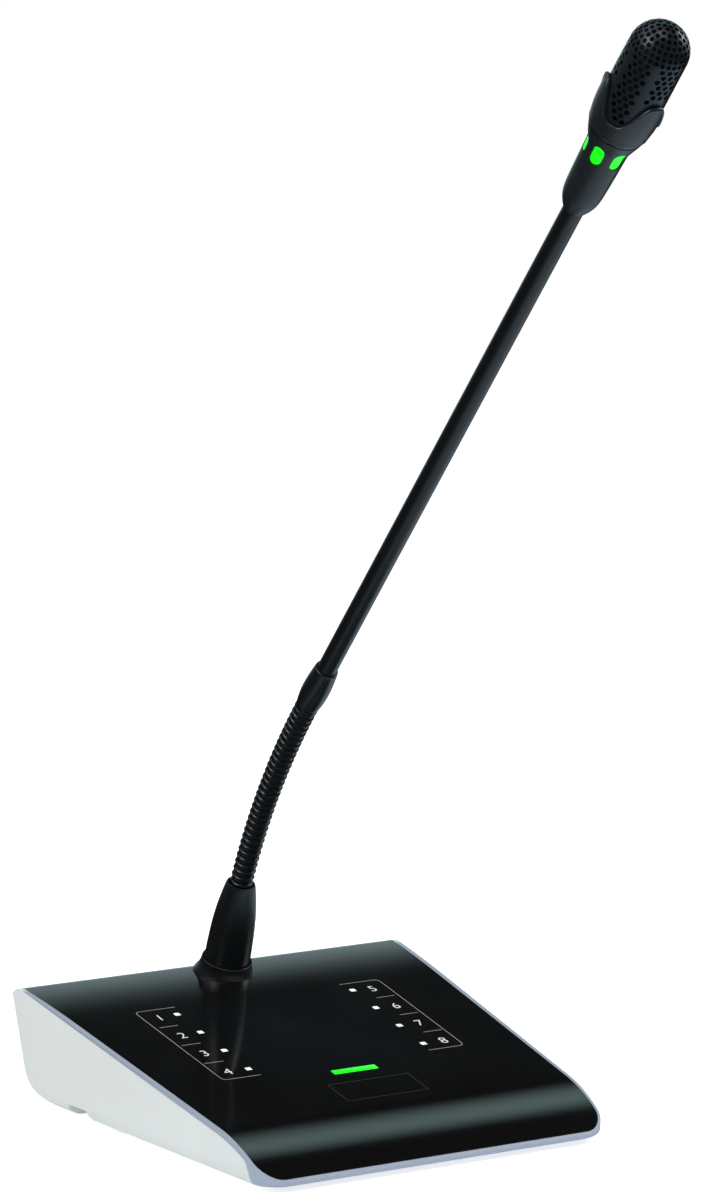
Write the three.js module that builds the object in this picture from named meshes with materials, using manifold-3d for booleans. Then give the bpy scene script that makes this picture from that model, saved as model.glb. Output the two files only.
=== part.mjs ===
// A desk paging call station: a wedge-shaped base with a touch panel, and a gooseneck microphone.
// Millimetres, +Z up. The user sits on the -Y side, and the base slopes down towards the user.
import * as THREE from 'three';
import { mergeVertices } from 'three/addons/utils/BufferGeometryUtils.js';
import Module from 'manifold-3d';

const wasm = await Module();
wasm.setup();
const degrees = THREE.MathUtils.degToRad;

// Clearances that several pieces share
const seatGap = 0.3;              // between faces that rest on each other
const slipGap = 0.2;              // round a shaft, a pin or a lens in its hole
const overrun = 6;                // how far a cutter runs past the faces that it cuts
const weldDistance = 0.0001;

// Base in plan and in profile
const baseDepth = 159.2;
const rimHalfWidth = 80;          // beside the axis of the rear roll
const sideTaper = degrees(3.7);   // each side runs in towards the front
const sideDraft = degrees(3);
const rearUndercut = degrees(13);
const panelSlope = degrees(11.7);
const panelMidHeight = 28.3;      // top of the panel over the desk, at mid depth
const rollRadius = 8;             // the panel rolls over the rear edge
const noseRadius = 63.4;          // the panel turns down towards the front lip
const noseTurn = degrees(27.6);
const lipLedge = 1.2;             // rim left showing in front of the panel
const rimWidth = 1.6;             // rim left showing beside the panel
const sideEdgeRadius = 7;         // lower edges of the tray
const sideEdgeFrontRadius = 2.2;  // to which the side edge narrows at the front
const rearEdgeRadius = 12;
const frontEdgeRadius = 1.6;
const rearCornerRadius = 2;       // corners in plan
const frontCornerRadius = 9;
const cornerGrowthShare = 0.6;    // the corners grow rounder as the lower edges turn in
const trayWall = 3;
const trayFloor = 1.8;
const trayNoseFill = 9;           // solid lip in front of the hollow
const lipFloor = 1;               // left under the front edge of the panel

// Top panel
const panelThickness = 2;
const panelRearDrop = 6;          // how far the panel runs down the rear wall
const panelFrontCorner = 8;

// Zone lights, call light, label card and touch board, on the slope of the panel
const zoneRows = 4;
const zonePitchShare = 0.1783;    // of the length of the touch board, as for its other places
const firstZoneShare = 0.8005;
const zoneHalfSpacing = 36.7;
const zoneTaper = degrees(0.77);
const zoneLightSize = 2.1;
const callLightLength = 17.8;
const callLightWidth = 3.2;
const callLightShare = 0.1348;
const lensFlange = 0.6;
const lensFlangeThickness = 0.7;
const labelWidth = 66;
const labelLengthShare = 0.6587;
const labelPlaceShare = 0.5174;
const labelThickness = 0.5;
const labelCorner = 1.5;
const touchBoardWidth = 104;
const touchBoardFromFront = 43.37;
const touchBoardFromStem = 11.38;
const touchBoardThickness = 1.6;
const boardCorner = 2;

// Case screws, from below through the tray into the panel
const screwRadius = 1.25;
const screwHeadRadius = 2.6;
const screwHeadHeight = 1.8;
const screwBite = 4.5;
const pillarWall = 1.5;
const pillarShelf = 3;
const panelBossRadius = 3.2;
const panelBossLength = 5;
const rearScrewInset = { side: 20, end: 23.6 };
const frontScrewInset = { side: 34, end: 38.6 };

// Rubber feet
const footHeight = 2;
const footRadius = 5;
const footRecess = 0.8;
const footChamfer = 0.6;
const rearFootInset = { side: 18, end: 55.1 };
const frontFootInset = { side: 33, end: 19.6 };

// Main board on its posts
const mainBoardHalfWidth = 50;
const mainBoardFromRear = 29.6;
const mainBoardRise = 1.1;        // over the roof of the cable bay
const mainBoardRoom = 3.56;       // under the touch board, at the front edge of the main board
const mainBoardThickness = 1.6;
const boardPostRadius = 3;
const boardPostX = 46;
const boardPostInset = 4;
const boardPostFromBay = 1;
const boardScrewRadius = 1.1;
const boardScrewHeadRadius = 2.1;
const boardScrewHeadHeight = 1.3;
const boardScrewBite = 6;
const processor = { x: 18, placeShare: 0.26, side: 15, height: 1.4 };
const amplifier = { x: -14, placeShare: 0.24, side: 9, height: 1.2 };

// Cable bay under the tray, with its way out to the left
const bayFromRear = 40.6;
const bayWidth = 14;
const bayInnerEnd = -30;
const bayLength = 34;
const bayHeight = 12.4;
const bayWall = 2;
const notchWidth = 13;
const notchHeight = 4.4;
const notchCorner = 1.5;

// Line socket behind the inner end of the bay
const socketLength = 21;
const socketWidth = 16;
const socketMouthWidth = 11.8;
const socketMouthHeight = 7;
const socketMouthDepth = 13;
const socketMouthLift = 2.6;
const socketMouthMargin = 0.8;
const latchWidth = 4.6;
const latchHeight = 1.8;

// Steel ballast plate on two pins
const ballastFromSide = 42;
const ballastThickness = 5;
const ballastFromFront = 33.6;
const ballastFromRear = 71.6;
const ballastCorner = 3;
const ballastPinRadius = 2;
const ballastPinInset = 10;

// Flat ribbon between the boards
const ribbonWidth = 14;
const ribbonThickness = 0.4;
const ribbonFlat = 7;
const ribbonPlace = { x: 34, fromRear: 26 };

// Stem seat: an angled bush through the panel, with a washer and a nut below
const stemFromRear = 14.6;
const seatLean = degrees(15.6);
const seatHeight = 7.7;
const seatCupDepth = 3;
const seatCupWall = 0.7;
const bushRadius = 5;
const bushBelow = 9;
const bushFlangeRadius = 7.7;
const bushFlangeThickness = 2;
const washerRadius = 6.3;
const washerThickness = 1;
const nutAcross = 11;
const nutSides = 6;
const nutThickness = 3.5;

// Flared collar and boot round the foot of the stem
const bootLean = degrees(18.85);
const bootHeight = 36.6;
const bootWall = 0.9;
const bootFootRadius = 7.9;
const bootRimRadius = 5.25;
const bootRimWall = 0.45;
const bootHeightShares = [0, 0.45, 0.65, 0.78, 0.88, 1];
const bootSwellShares = [1, 0.98, 0.88, 0.64, 0.34, 0];
const collarRadius = 11;
const collarTopRadius = 9.1;
const collarHeight = 5.2;
const collarWall = 0.75;
const collarSkirt = 5;
const collarHeightShares = [0, 0.33, 0.8];
const collarSwellShares = [1, 0.3, 0];
const collarEdgeRound = 0.2;

// Gooseneck: ribbed, bent in the plane x = 0
const neckRadius = 4.18;
const neckGrooveRadius = 3.55;
const neckBore = 1.9;
const ribPitch = 2.75;
const ribCount = 40;
const ribEdgeShares = [0.06, 0.9];
const bendShare = 0.86;
const stemLean = degrees(41.7);
const plainFoot = 2.4;
const plainTop = 1.6;
const boreRingRibs = 5;
const pathStep = 0.275;
const neckSides = 8;

// Microphone cable
const cableRadius = 1.3;
const cableSides = 8;
const cableDrop = 3.6;            // straight below the bush
const cableRun = 10;              // straight into the plug
const plugWidth = 7;
const plugLength = 5;
const plugHeight = 4.2;
const plugPlace = { x: 6, fromRear: 6 };

// Sleeve and tube
const sleeveLength = 19;
const sleeveFootRadius = 4.25;
const sleeveBellyRadius = 4.9;
const sleeveTopRadius = 4.15;
const sleeveHeightShares = [0, 0.15, 0.4, 0.65, 0.85, 1];
const sleeveSwellShares = [0, 0.55, 1, 0.85, 0.4, 0];
const tubeRadius = 3.45;
const tubeWall = 0.85;
const tubeSleeveSeat = 8;
const tubeShown = 222.9;
const tubeHeadSeat = 12;

// Microphone head, heights counted from its lower end
const headHeights = [0, 0.5, 2.2, 13, 21.5, 28, 31.8, 34.1];
const headRadii = [3.85, 4.6, 5.35, 6.3, 6.85, 7.25, 8.6, 9.35];
const headWall = 1.1;
const ringBoardLift = 20.5;
const ringBoardThickness = 1;
const windowCount = 6;
const windowTurn = degrees(-14);
const windowWidth = 4.1;
const windowLength = 6.7;
const windowMiddle = 26.95;
const lightRingWall = 0.8;
const lightRingMargin = 0.8;
const lensSink = 0.1;

// Lobed collar of the head
const cupHeights = [34.4, 38.6, 46.4, 51.4, 54.2];
const cupRadii = [9.4, 10.2, 10.75, 10.9, 10.95];
const cupFloor = 3;
const cupHole = 4.4;
const lobeCount = 3;
const lobeTurn = degrees(-57);    // middle of one crest
const lobeLow = 40.7;
const lobeHigh = 54;
const lobeFullness = 0.8;
const lobeBead = 0.35;
const lobeBeadDepth = 0.9;
const cupSides = 42;

// Grille
const grilleFootRadius = 9.5;
const domeRadius = 8.95;
const domeMiddle = 70.2;
const grilleWall = 0.7;
const fieldCount = 6;
const fieldTurn = degrees(3);     // middle of one field of holes
const fieldColumns = 3;
const stripColumns = 1;
const holePitch = 3.2;
const holeRadius = 1.05;
const holeSides = 6;
const domeRowTurn = degrees(24);

// Capsule, its mount and the foam windscreen
const windscreenGap = 0.5;
const windscreenLow = 42;
const capsuleRadius = 4.9;
const capsuleHeight = 6;
const capsuleLift = 60;
const mountRadius = 2.6;
const mountBore = 1.7;
const mountFlangeRadius = 6.4;
const mountFlangeThickness = 1.2;

// Smoothness of the round pieces
const fineSides = 24;
const middleSides = 14;
const smallSides = 8;
const cornerSteps = 4;

// Materials
const greyPlastic = { color: 0xd3d4cf, roughness: 0.45, metalness: 0 };
const blackGloss = { color: 0x0c0d0e, roughness: 0.16, metalness: 0 };
const blackSatin = { color: 0x1b1c1e, roughness: 0.5, metalness: 0 };
const headBlack = { color: 0x252b33, roughness: 0.5, metalness: 0 };
const blackMetal = { color: 0x1d2126, roughness: 0.42, metalness: 0.5 };
const rubber = { color: 0x161616, roughness: 0.85, metalness: 0 };
const greenLens = { color: 0x18d829, roughness: 0.3, metalness: 0 };
const greyLens = { color: 0xb9bfc2, roughness: 0.35, metalness: 0 };
const circuitGreen = { color: 0x1d5a38, roughness: 0.5, metalness: 0 };
const steel = { color: 0x9a9c9e, roughness: 0.4, metalness: 0.9 };
const brass = { color: 0xb59a5a, roughness: 0.35, metalness: 0.9 };
const cardStock = { color: 0x22262a, roughness: 0.8, metalness: 0 };
const orangeFilm = { color: 0xa8702c, roughness: 0.4, metalness: 0 };
const darkFoam = { color: 0x202225, roughness: 0.95, metalness: 0 };

// One vertex for each place, and no triangle without area
function welded(geometry) {
  const bare = new THREE.BufferGeometry();
  bare.setAttribute('position', geometry.getAttribute('position'));
  bare.setIndex(geometry.index);
  const merged = mergeVertices(bare, weldDistance);
  const corners = merged.index.array;
  const kept = [];
  for (let i = 0; i < corners.length; i += 3) {
    const [a, b, c] = corners.slice(i, i + 3);
    if (a !== b && b !== c && c !== a) {
      kept.push(a, b, c);
    }
  }
  merged.setIndex(kept);
  return merged;
}

function solid(geometry) {
  const closed = welded(geometry);
  return new wasm.Manifold(new wasm.Mesh({
    numProp: 3,
    vertProperties: Float32Array.from(closed.getAttribute('position').array),
    triVerts: Uint32Array.from(closed.index.array),
  }));
}

function surface(manifold) {
  const mesh = manifold.getMesh();
  const geometry = new THREE.BufferGeometry();
  geometry.setAttribute('position', new THREE.BufferAttribute(mesh.vertProperties, 3));
  geometry.setIndex(new THREE.BufferAttribute(mesh.triVerts, 1));
  return geometry;
}

function piece(name, shape, look) {
  const geometry = shape.isBufferGeometry ? welded(shape) : surface(shape);
  geometry.computeVertexNormals();
  const mesh = new THREE.Mesh(geometry, new THREE.MeshStandardMaterial(look));
  mesh.name = name;
  return mesh;
}

// Basic solids that stand on a height
function block(width, depth, height, x, y, low) {
  return new THREE.BoxGeometry(width, depth, height).translate(x, y, low + height / 2);
}

function cylinder(radius, height, low, sides) {
  const geometry = new THREE.CylinderGeometry(radius, radius, height, sides);
  return geometry.rotateX(Math.PI / 2).translate(0, 0, low + height / 2);
}

function revolved(profile, sides) {
  const outline = profile.map(([radius, height]) => new THREE.Vector2(radius, height));
  return new THREE.LatheGeometry(outline, sides).rotateX(Math.PI / 2);
}

function plate(width, length, thickness, corner, place, low) {
  const corners = [[1, -1], [1, 1], [-1, 1], [-1, -1]].map(([right, up]) => ({
    x: right * width / 2,
    y: place + up * length / 2,
    radius: corner,
  }));
  return prism(roundedOutline(corners), thickness).translate(0, 0, low);
}

function prism(outline, height) {
  return new THREE.ExtrudeGeometry(new THREE.Shape(outline), { depth: height, bevelEnabled: false });
}

// A prism across the base, from an outline in y and z
function crossPrism(outline, width) {
  const geometry = prism(outline, width).rotateY(Math.PI / 2).rotateX(Math.PI / 2);
  return geometry.translate(-width / 2, 0, 0);
}

// A counter-clockwise outline with an arc at every corner that has a radius
function roundedOutline(corners) {
  const outline = [];
  corners.forEach((corner, i) => {
    const here = new THREE.Vector2(corner.x, corner.y);
    if (!corner.radius) {
      outline.push(here);
      return;
    }
    const last = corners[(i + corners.length - 1) % corners.length];
    const next = corners[(i + 1) % corners.length];
    const back = new THREE.Vector2(last.x, last.y).sub(here).normalize();
    const ahead = new THREE.Vector2(next.x, next.y).sub(here).normalize();
    const halfAngle = Math.acos(back.dot(ahead)) / 2;
    const inward = back.clone().add(ahead).normalize();
    const middle = here.clone().addScaledVector(inward, corner.radius / Math.sin(halfAngle));
    const start = here.clone().addScaledVector(back, corner.radius / Math.tan(halfAngle));
    const firstAngle = start.clone().sub(middle).angle();
    for (let step = 0; step <= cornerSteps; step += 1) {
      const angle = firstAngle + (Math.PI - 2 * halfAngle) * step / cornerSteps;
      outline.push(new THREE.Vector2(
        middle.x + corner.radius * Math.cos(angle),
        middle.y + corner.radius * Math.sin(angle),
      ));
    }
  });
  return outline;
}

// A skin over rings of equal count, capped at both ends or joined from the last ring to the first
function loft(rings, joined) {
  const count = rings[0].length;
  const index = [];
  const spans = joined ? rings.length : rings.length - 1;
  for (let r = 0; r < spans; r += 1) {
    const low = r * count;
    const high = ((r + 1) % rings.length) * count;
    for (let i = 0; i < count; i += 1) {
      const j = (i + 1) % count;
      index.push(low + i, low + j, high + j, low + i, high + j, high + i);
    }
  }
  if (!joined) {
    const last = (rings.length - 1) * count;
    for (let i = 1; i < count - 1; i += 1) {
      index.push(0, i + 1, i, last, last + i, last + i + 1);
    }
  }
  const geometry = new THREE.BufferGeometry().setFromPoints(rings.flat());
  geometry.setIndex(index);
  return geometry;
}

// Profile of the base in y and z. A face that leans by an angle has its normal turned from +Z
// towards +Y by that angle.
const panelHeightAt = (y) => panelMidHeight + y * Math.tan(panelSlope);
const rollMiddle = new THREE.Vector2(baseDepth / 2 - rollRadius, 0);
rollMiddle.y = panelHeightAt(rollMiddle.x) - rollRadius / Math.cos(panelSlope);
const noseEndLean = -(panelSlope + noseTurn);
const noseMiddle = new THREE.Vector2(lipLedge - baseDepth / 2 - noseRadius * Math.sin(noseEndLean), 0);
noseMiddle.y = panelHeightAt(noseMiddle.x) - noseRadius / Math.cos(panelSlope);
const rollEndLean = Math.PI / 2 + rearUndercut;
const arcPoint = (middle, radius, lean) => new THREE.Vector2(
  middle.x + radius * Math.sin(lean),
  middle.y + radius * Math.cos(lean),
);
const rollEnd = arcPoint(rollMiddle, rollRadius, rollEndLean);

// The top line of the base from front to rear, set in by a depth and run on at both ends
function topLine(depth, frontReach, rearReach) {
  const noseSteps = 6;
  const rollSteps = 8;
  const line = [];
  const noseEnd = arcPoint(noseMiddle, noseRadius - depth, noseEndLean);
  line.push(new THREE.Vector2(
    noseEnd.x - frontReach * Math.cos(noseEndLean),
    noseEnd.y + frontReach * Math.sin(noseEndLean),
  ));
  for (let step = 0; step <= noseSteps; step += 1) {
    const lean = noseEndLean + noseTurn * step / noseSteps;
    line.push(arcPoint(noseMiddle, noseRadius - depth, lean));
  }
  for (let step = 0; step <= rollSteps; step += 1) {
    const lean = -panelSlope + (rollEndLean + panelSlope) * step / rollSteps;
    line.push(arcPoint(rollMiddle, rollRadius - depth, lean));
  }
  const wallFoot = line[line.length - 1].clone();
  wallFoot.x -= rearReach * Math.sin(rearUndercut);
  wallFoot.y -= rearReach * Math.cos(rearUndercut);
  line.push(wallFoot);
  return line;
}

const rimHalfWidthAt = (y) => rimHalfWidth + (y - rollMiddle.x) * Math.tan(sideTaper);
const halfWidthAt = (y, z) => rimHalfWidthAt(y) + (z - panelHeightAt(y)) * Math.tan(sideDraft);
const rearWallAt = (z) => rollEnd.x - (rollEnd.y - z) * Math.tan(rearUndercut);

// How far a rounded lower edge stands in at a height above the bottom
function edgeInset(radius, height) {
  const rise = Math.max(radius - height, 0);
  return radius - Math.sqrt(radius ** 2 - rise ** 2);
}

function trayRing(z, rear, front, growth) {
  const rearHalf = halfWidthAt(rear.y, z) - rear.inset;
  const frontHalf = halfWidthAt(front.y, z) - front.inset;
  const outline = roundedOutline([
    { x: frontHalf, y: front.y, radius: frontCornerRadius },
    { x: rearHalf, y: rear.y, radius: rearCornerRadius + growth },
    { x: -rearHalf, y: rear.y, radius: rearCornerRadius + growth },
    { x: -frontHalf, y: front.y, radius: frontCornerRadius },
  ]);
  return outline.map((point) => new THREE.Vector3(point.x, point.y, z));
}

// Tray levels: the rounded lower edge first, then the drafted walls
const trayBottom = footHeight;
const trayTop = panelHeightAt(baseDepth / 2) + overrun;
const edgeSteps = 5;
const trayLevels = [];
for (let step = 0; step <= edgeSteps; step += 1) {
  const height = rearEdgeRadius * (1 - Math.cos(Math.PI / 2 * step / edgeSteps));
  const z = trayBottom + height;
  const rearInset = edgeInset(rearEdgeRadius, height);
  const rear = { y: rearWallAt(z) - rearInset, inset: edgeInset(sideEdgeRadius, height) };
  const front = {
    y: edgeInset(frontEdgeRadius, height) - baseDepth / 2,
    inset: edgeInset(sideEdgeFrontRadius, height),
  };
  trayLevels.push(trayRing(z, rear, front, rearInset * cornerGrowthShare));
}
const pastRear = baseDepth / 2 + seatGap;
for (const [z, rear] of [[rollEnd.y, rollEnd.x], [rollMiddle.y, pastRear], [trayTop, pastRear]]) {
  trayLevels.push(trayRing(z, { y: rear, inset: 0 }, { y: -baseDepth / 2, inset: 0 }, 0));
}

const underTop = crossPrism([
  ...topLine(0, baseDepth, 0),
  new THREE.Vector2(baseDepth, rollEnd.y),
  new THREE.Vector2(baseDepth, -baseDepth),
], baseDepth * 2);
const envelope = solid(loft(trayLevels, false)).intersect(solid(underTop));

// Hollow of the tray
const hollowRear = trayWall + panelThickness + seatGap;
const hollowLevels = [trayBottom + trayFloor, rollEnd.y, trayTop].map((z) => {
  const rearTurn = z < rollEnd.y ? rearEdgeRadius / 2 : 0;
  const sideTurn = z < rollEnd.y ? sideEdgeRadius / 2 : 0;
  const rear = { y: rearWallAt(Math.min(z, rollEnd.y)) - hollowRear - rearTurn, inset: trayWall + sideTurn };
  return trayRing(z, rear, { y: trayNoseFill - baseDepth / 2, inset: trayWall + sideTurn }, 0);
});
const hollow = solid(loft(hollowLevels, false));

// Seat of the panel: a band under the top line, inside the rim
function panelOutline(gap) {
  const half = (y) => rimHalfWidthAt(y) - rimWidth + gap;
  const front = lipLedge - gap - baseDepth / 2;
  const rear = baseDepth / 2 + overrun;
  return roundedOutline([
    { x: half(front), y: front, radius: panelFrontCorner },
    { x: half(rear), y: rear, radius: 0 },
    { x: -half(rear), y: rear, radius: 0 },
    { x: -half(front), y: front, radius: panelFrontCorner },
  ]);
}

function panelBand(rise, depth, gap, low) {
  const over = topLine(-rise, overrun, panelRearDrop + gap);
  const under = topLine(depth, overrun, panelRearDrop + gap);
  const band = solid(crossPrism([...over, ...under.reverse()], baseDepth * 2));
  const inside = prism(panelOutline(gap), trayTop).translate(0, 0, low);
  return band.intersect(solid(inside));
}

const panelLow = trayBottom + lipFloor + seatGap;
const panelRecess = panelBand(overrun, panelThickness + seatGap, slipGap, panelLow - seatGap);
const panelSkin = panelBand(0, panelThickness, 0, panelLow);

// Places that both the tray and the panel use
const bothSides = [-1, 1];
function cornerPlaces(rearInset, frontInset) {
  const rear = { x: rimHalfWidth - rearInset.side, y: baseDepth / 2 - rearInset.end };
  const front = { x: rimHalfWidth - frontInset.side, y: frontInset.end - baseDepth / 2 };
  return [rear, front].flatMap(({ x, y }) => bothSides.map((side) => ({ x: side * x, y })));
}
const caseScrews = cornerPlaces(rearScrewInset, frontScrewInset);
const feet = cornerPlaces(rearFootInset, frontFootInset);
const bayMiddle = baseDepth / 2 - bayFromRear;
const mainBoardRear = baseDepth / 2 - mainBoardFromRear;
const mainBoardHeight = trayBottom + bayHeight + bayWall + mainBoardRise;
const touchBoardDepth = panelThickness + seatGap + touchBoardThickness;
const mainBoardCeiling = mainBoardHeight + mainBoardThickness + mainBoardRoom;
const mainBoardFront = (mainBoardCeiling + touchBoardDepth / Math.cos(panelSlope) - panelMidHeight)
  / Math.tan(panelSlope);
const mainBoardLength = mainBoardRear - mainBoardFront;
const boardPostRows = [
  bayMiddle - bayWidth / 2 - bayWall - boardPostFromBay - boardPostRadius,
  mainBoardFront + boardPostInset,
];
const boardPosts = boardPostRows.flatMap((y) => bothSides.map((side) => ({
  x: side * boardPostX,
  y,
})));
const panelBossFoot = (y) => panelHeightAt(y) - panelThickness / Math.cos(panelSlope) - panelBossLength;
const pillarTop = (y) => panelBossFoot(y) - seatGap;
const pillarRadius = screwHeadRadius + slipGap + pillarWall;
const floorTop = trayBottom + trayFloor;
const ballastLength = baseDepth - ballastFromFront - ballastFromRear;
const ballastMiddle = (ballastFromFront - ballastFromRear) / 2;
const ballastWidth = 2 * (rimHalfWidth - ballastFromSide);
const ballastPinSpacing = ballastWidth - 2 * ballastPinInset;
const stemPlace = baseDepth / 2 - stemFromRear;

// Tray
const bayOuterEnd = bayInnerEnd - bayLength;
const bayShell = solid(block(
  rimHalfWidth + bayInnerEnd + bayWall,
  bayWidth + 2 * bayWall,
  bayHeight + bayWall,
  (bayInnerEnd + bayWall - rimHalfWidth) / 2,
  bayMiddle,
  trayBottom,
));
let tray = envelope.subtract(hollow).add(bayShell.intersect(envelope));
for (const { x, y } of caseScrews) {
  const height = pillarTop(y) - trayBottom;
  tray = tray.add(solid(cylinder(pillarRadius, height, trayBottom, middleSides).translate(x, y, 0)));
}
for (const { x, y } of boardPosts) {
  const height = mainBoardHeight - seatGap - trayBottom;
  tray = tray.add(solid(cylinder(boardPostRadius, height, trayBottom, smallSides).translate(x, y, 0)));
}
for (const side of bothSides) {
  const pin = cylinder(ballastPinRadius, trayFloor + ballastThickness, trayBottom, smallSides);
  tray = tray.add(solid(pin.translate(side * ballastPinSpacing / 2, ballastMiddle, 0)));
}
tray = tray.subtract(panelRecess);
for (const { x, y } of caseScrews) {
  const shelfFoot = pillarTop(y) - pillarShelf;
  const well = cylinder(screwHeadRadius + slipGap, shelfFoot + overrun, -overrun, smallSides);
  const hole = cylinder(screwRadius + slipGap, pillarShelf + overrun, shelfFoot - overrun / 2, smallSides);
  tray = tray.subtract(solid(well.translate(x, y, 0))).subtract(solid(hole.translate(x, y, 0)));
}
for (const { x, y } of boardPosts) {
  const tip = mainBoardHeight - boardScrewBite;
  const hole = cylinder(boardScrewRadius, boardScrewBite + overrun, tip, smallSides);
  tray = tray.subtract(solid(hole.translate(x, y, 0)));
}
for (const { x, y } of feet) {
  const pocket = cylinder(footRadius + slipGap, footRecess + overrun, trayBottom - overrun, middleSides);
  tray = tray.subtract(solid(pocket.translate(x, y, 0)));
}
tray = tray.subtract(solid(block(
  bayLength,
  bayWidth,
  bayHeight + overrun,
  (bayInnerEnd + bayOuterEnd) / 2,
  bayMiddle,
  trayBottom - overrun,
)));
const notchOutline = roundedOutline([
  { x: bayMiddle - notchWidth / 2, y: trayBottom - overrun, radius: 0 },
  { x: bayMiddle + notchWidth / 2, y: trayBottom - overrun, radius: 0 },
  { x: bayMiddle + notchWidth / 2, y: trayBottom + notchHeight, radius: notchCorner },
  { x: bayMiddle - notchWidth / 2, y: trayBottom + notchHeight, radius: notchCorner },
]);
const notch = crossPrism(notchOutline, rimHalfWidth);
tray = tray.subtract(solid(notch.translate(bayOuterEnd + overrun - rimHalfWidth / 2, 0, 0)));

// Line socket and the window for its mouth in the end wall of the bay
const socketTop = mainBoardHeight - seatGap;
const socketLow = floorTop + seatGap;
const socketFace = bayInnerEnd + bayWall + seatGap;
const mouthLow = socketLow + socketMouthLift;
const socketWindow = block(
  bayWall + overrun,
  socketMouthWidth + 2 * socketMouthMargin,
  socketMouthHeight + latchHeight + 2 * socketMouthMargin,
  bayInnerEnd,
  bayMiddle,
  mouthLow - socketMouthMargin,
);
tray = tray.subtract(solid(socketWindow));
const socketBody = block(
  socketLength,
  socketWidth,
  socketTop - socketLow,
  socketFace + socketLength / 2,
  bayMiddle,
  socketLow,
);
const mouthLength = socketMouthDepth + overrun;
const mouthMiddle = socketFace + socketMouthDepth - mouthLength / 2;
const mouthCut = (width, height) => (
  solid(block(mouthLength, width, height, mouthMiddle, bayMiddle, mouthLow))
);
const lineSocket = solid(socketBody)
  .subtract(mouthCut(socketMouthWidth, socketMouthHeight))
  .subtract(mouthCut(latchWidth, socketMouthHeight + latchHeight));

const station = new THREE.Group();
station.add(piece('housing', tray, greyPlastic));
station.add(piece('line_socket', lineSocket, blackSatin));

// Frame of the sloping panel: y up the slope from mid depth, z out of the panel
const slope = new THREE.Group();
slope.position.z = panelMidHeight;
slope.rotation.x = panelSlope;
slope.updateMatrix();
station.add(slope);
const upSlope = (y) => y / Math.cos(panelSlope);
const stemUpSlope = upSlope(stemPlace);

// Panel with its bosses, and with seats for the lenses and the label card
const touchBoardRear = upSlope(stemPlace) - touchBoardFromStem;
const touchBoardFront = upSlope(touchBoardFromFront - baseDepth / 2);
const touchBoardLength = touchBoardRear - touchBoardFront;
const alongBoard = (share) => touchBoardFront + share * touchBoardLength;
const labelLength = labelLengthShare * touchBoardLength;
const labelPlace = alongBoard(labelPlaceShare);
const callLightPlace = alongBoard(callLightShare);
const zones = [];
for (const side of bothSides) {
  for (let row = 0; row < zoneRows; row += 1) {
    const y = alongBoard(firstZoneShare - row * zonePitchShare);
    const drop = alongBoard(firstZoneShare) - y;
    zones.push({ x: side * (zoneHalfSpacing - drop * Math.tan(zoneTaper)), y });
  }
}
function lens(width, length, gap, rise) {
  const top = block(width + 2 * gap, length + 2 * gap, panelThickness + rise, 0, 0, -panelThickness);
  const wide = width + 2 * (lensFlange + gap);
  const long = length + 2 * (lensFlange + gap);
  const flange = block(wide, long, lensFlangeThickness + gap + rise, 0, 0, -panelThickness - rise);
  return [top, flange];
}
function lensSolid(width, length, gap, rise, x, y) {
  const [top, flange] = lens(width, length, gap, rise).map((part) => solid(part.translate(x, y, 0)));
  return top.add(flange);
}
const labelPocket = plate(
  labelWidth + 2 * slipGap,
  labelLength + 2 * slipGap,
  labelThickness + seatGap + overrun,
  labelCorner,
  labelPlace,
  -panelThickness - overrun,
);
const stemHole = cylinder(bushRadius + slipGap, 2 * overrun, -overrun, middleSides);
let slopeCuts = solid(labelPocket)
  .add(solid(stemHole.translate(0, stemUpSlope, 0)))
  .add(lensSolid(callLightLength, callLightWidth, slipGap, overrun, 0, callLightPlace));
for (const { x, y } of zones) {
  slopeCuts = slopeCuts.add(lensSolid(zoneLightSize, zoneLightSize, slipGap, overrun, x, y));
}
let panel = panelSkin;
for (const { x, y } of caseScrews) {
  const boss = cylinder(panelBossRadius, panelBossLength + panelThickness / 2, panelBossFoot(y), middleSides);
  panel = panel.add(solid(boss.translate(x, y, 0)));
}
for (const { x, y } of caseScrews) {
  const hole = cylinder(screwRadius, screwBite + overrun, panelBossFoot(y) - overrun, smallSides);
  panel = panel.subtract(solid(hole.translate(x, y, 0)));
}
panel = panel.subtract(slopeCuts.transform(slope.matrix.toArray()));
station.add(piece('top_panel', panel, blackGloss));

zones.forEach(({ x, y }, i) => {
  const light = lensSolid(zoneLightSize, zoneLightSize, 0, 0, x, y);
  slope.add(piece(`zone_light_${i + 1}`, light, greyLens));
});
const callLight = lensSolid(callLightLength, callLightWidth, 0, 0, 0, callLightPlace);
slope.add(piece('call_light_bar', callLight, greenLens));
const labelCard = plate(labelWidth, labelLength, labelThickness, labelCorner, labelPlace, -panelThickness);
slope.add(piece('label_card', labelCard, cardStock));
const touchBoardLow = -touchBoardDepth;
const touchBoard = plate(
  touchBoardWidth,
  touchBoardLength,
  touchBoardThickness,
  boardCorner,
  (touchBoardRear + touchBoardFront) / 2,
  touchBoardLow,
);
slope.add(piece('touch_board', touchBoard, circuitGreen));

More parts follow.
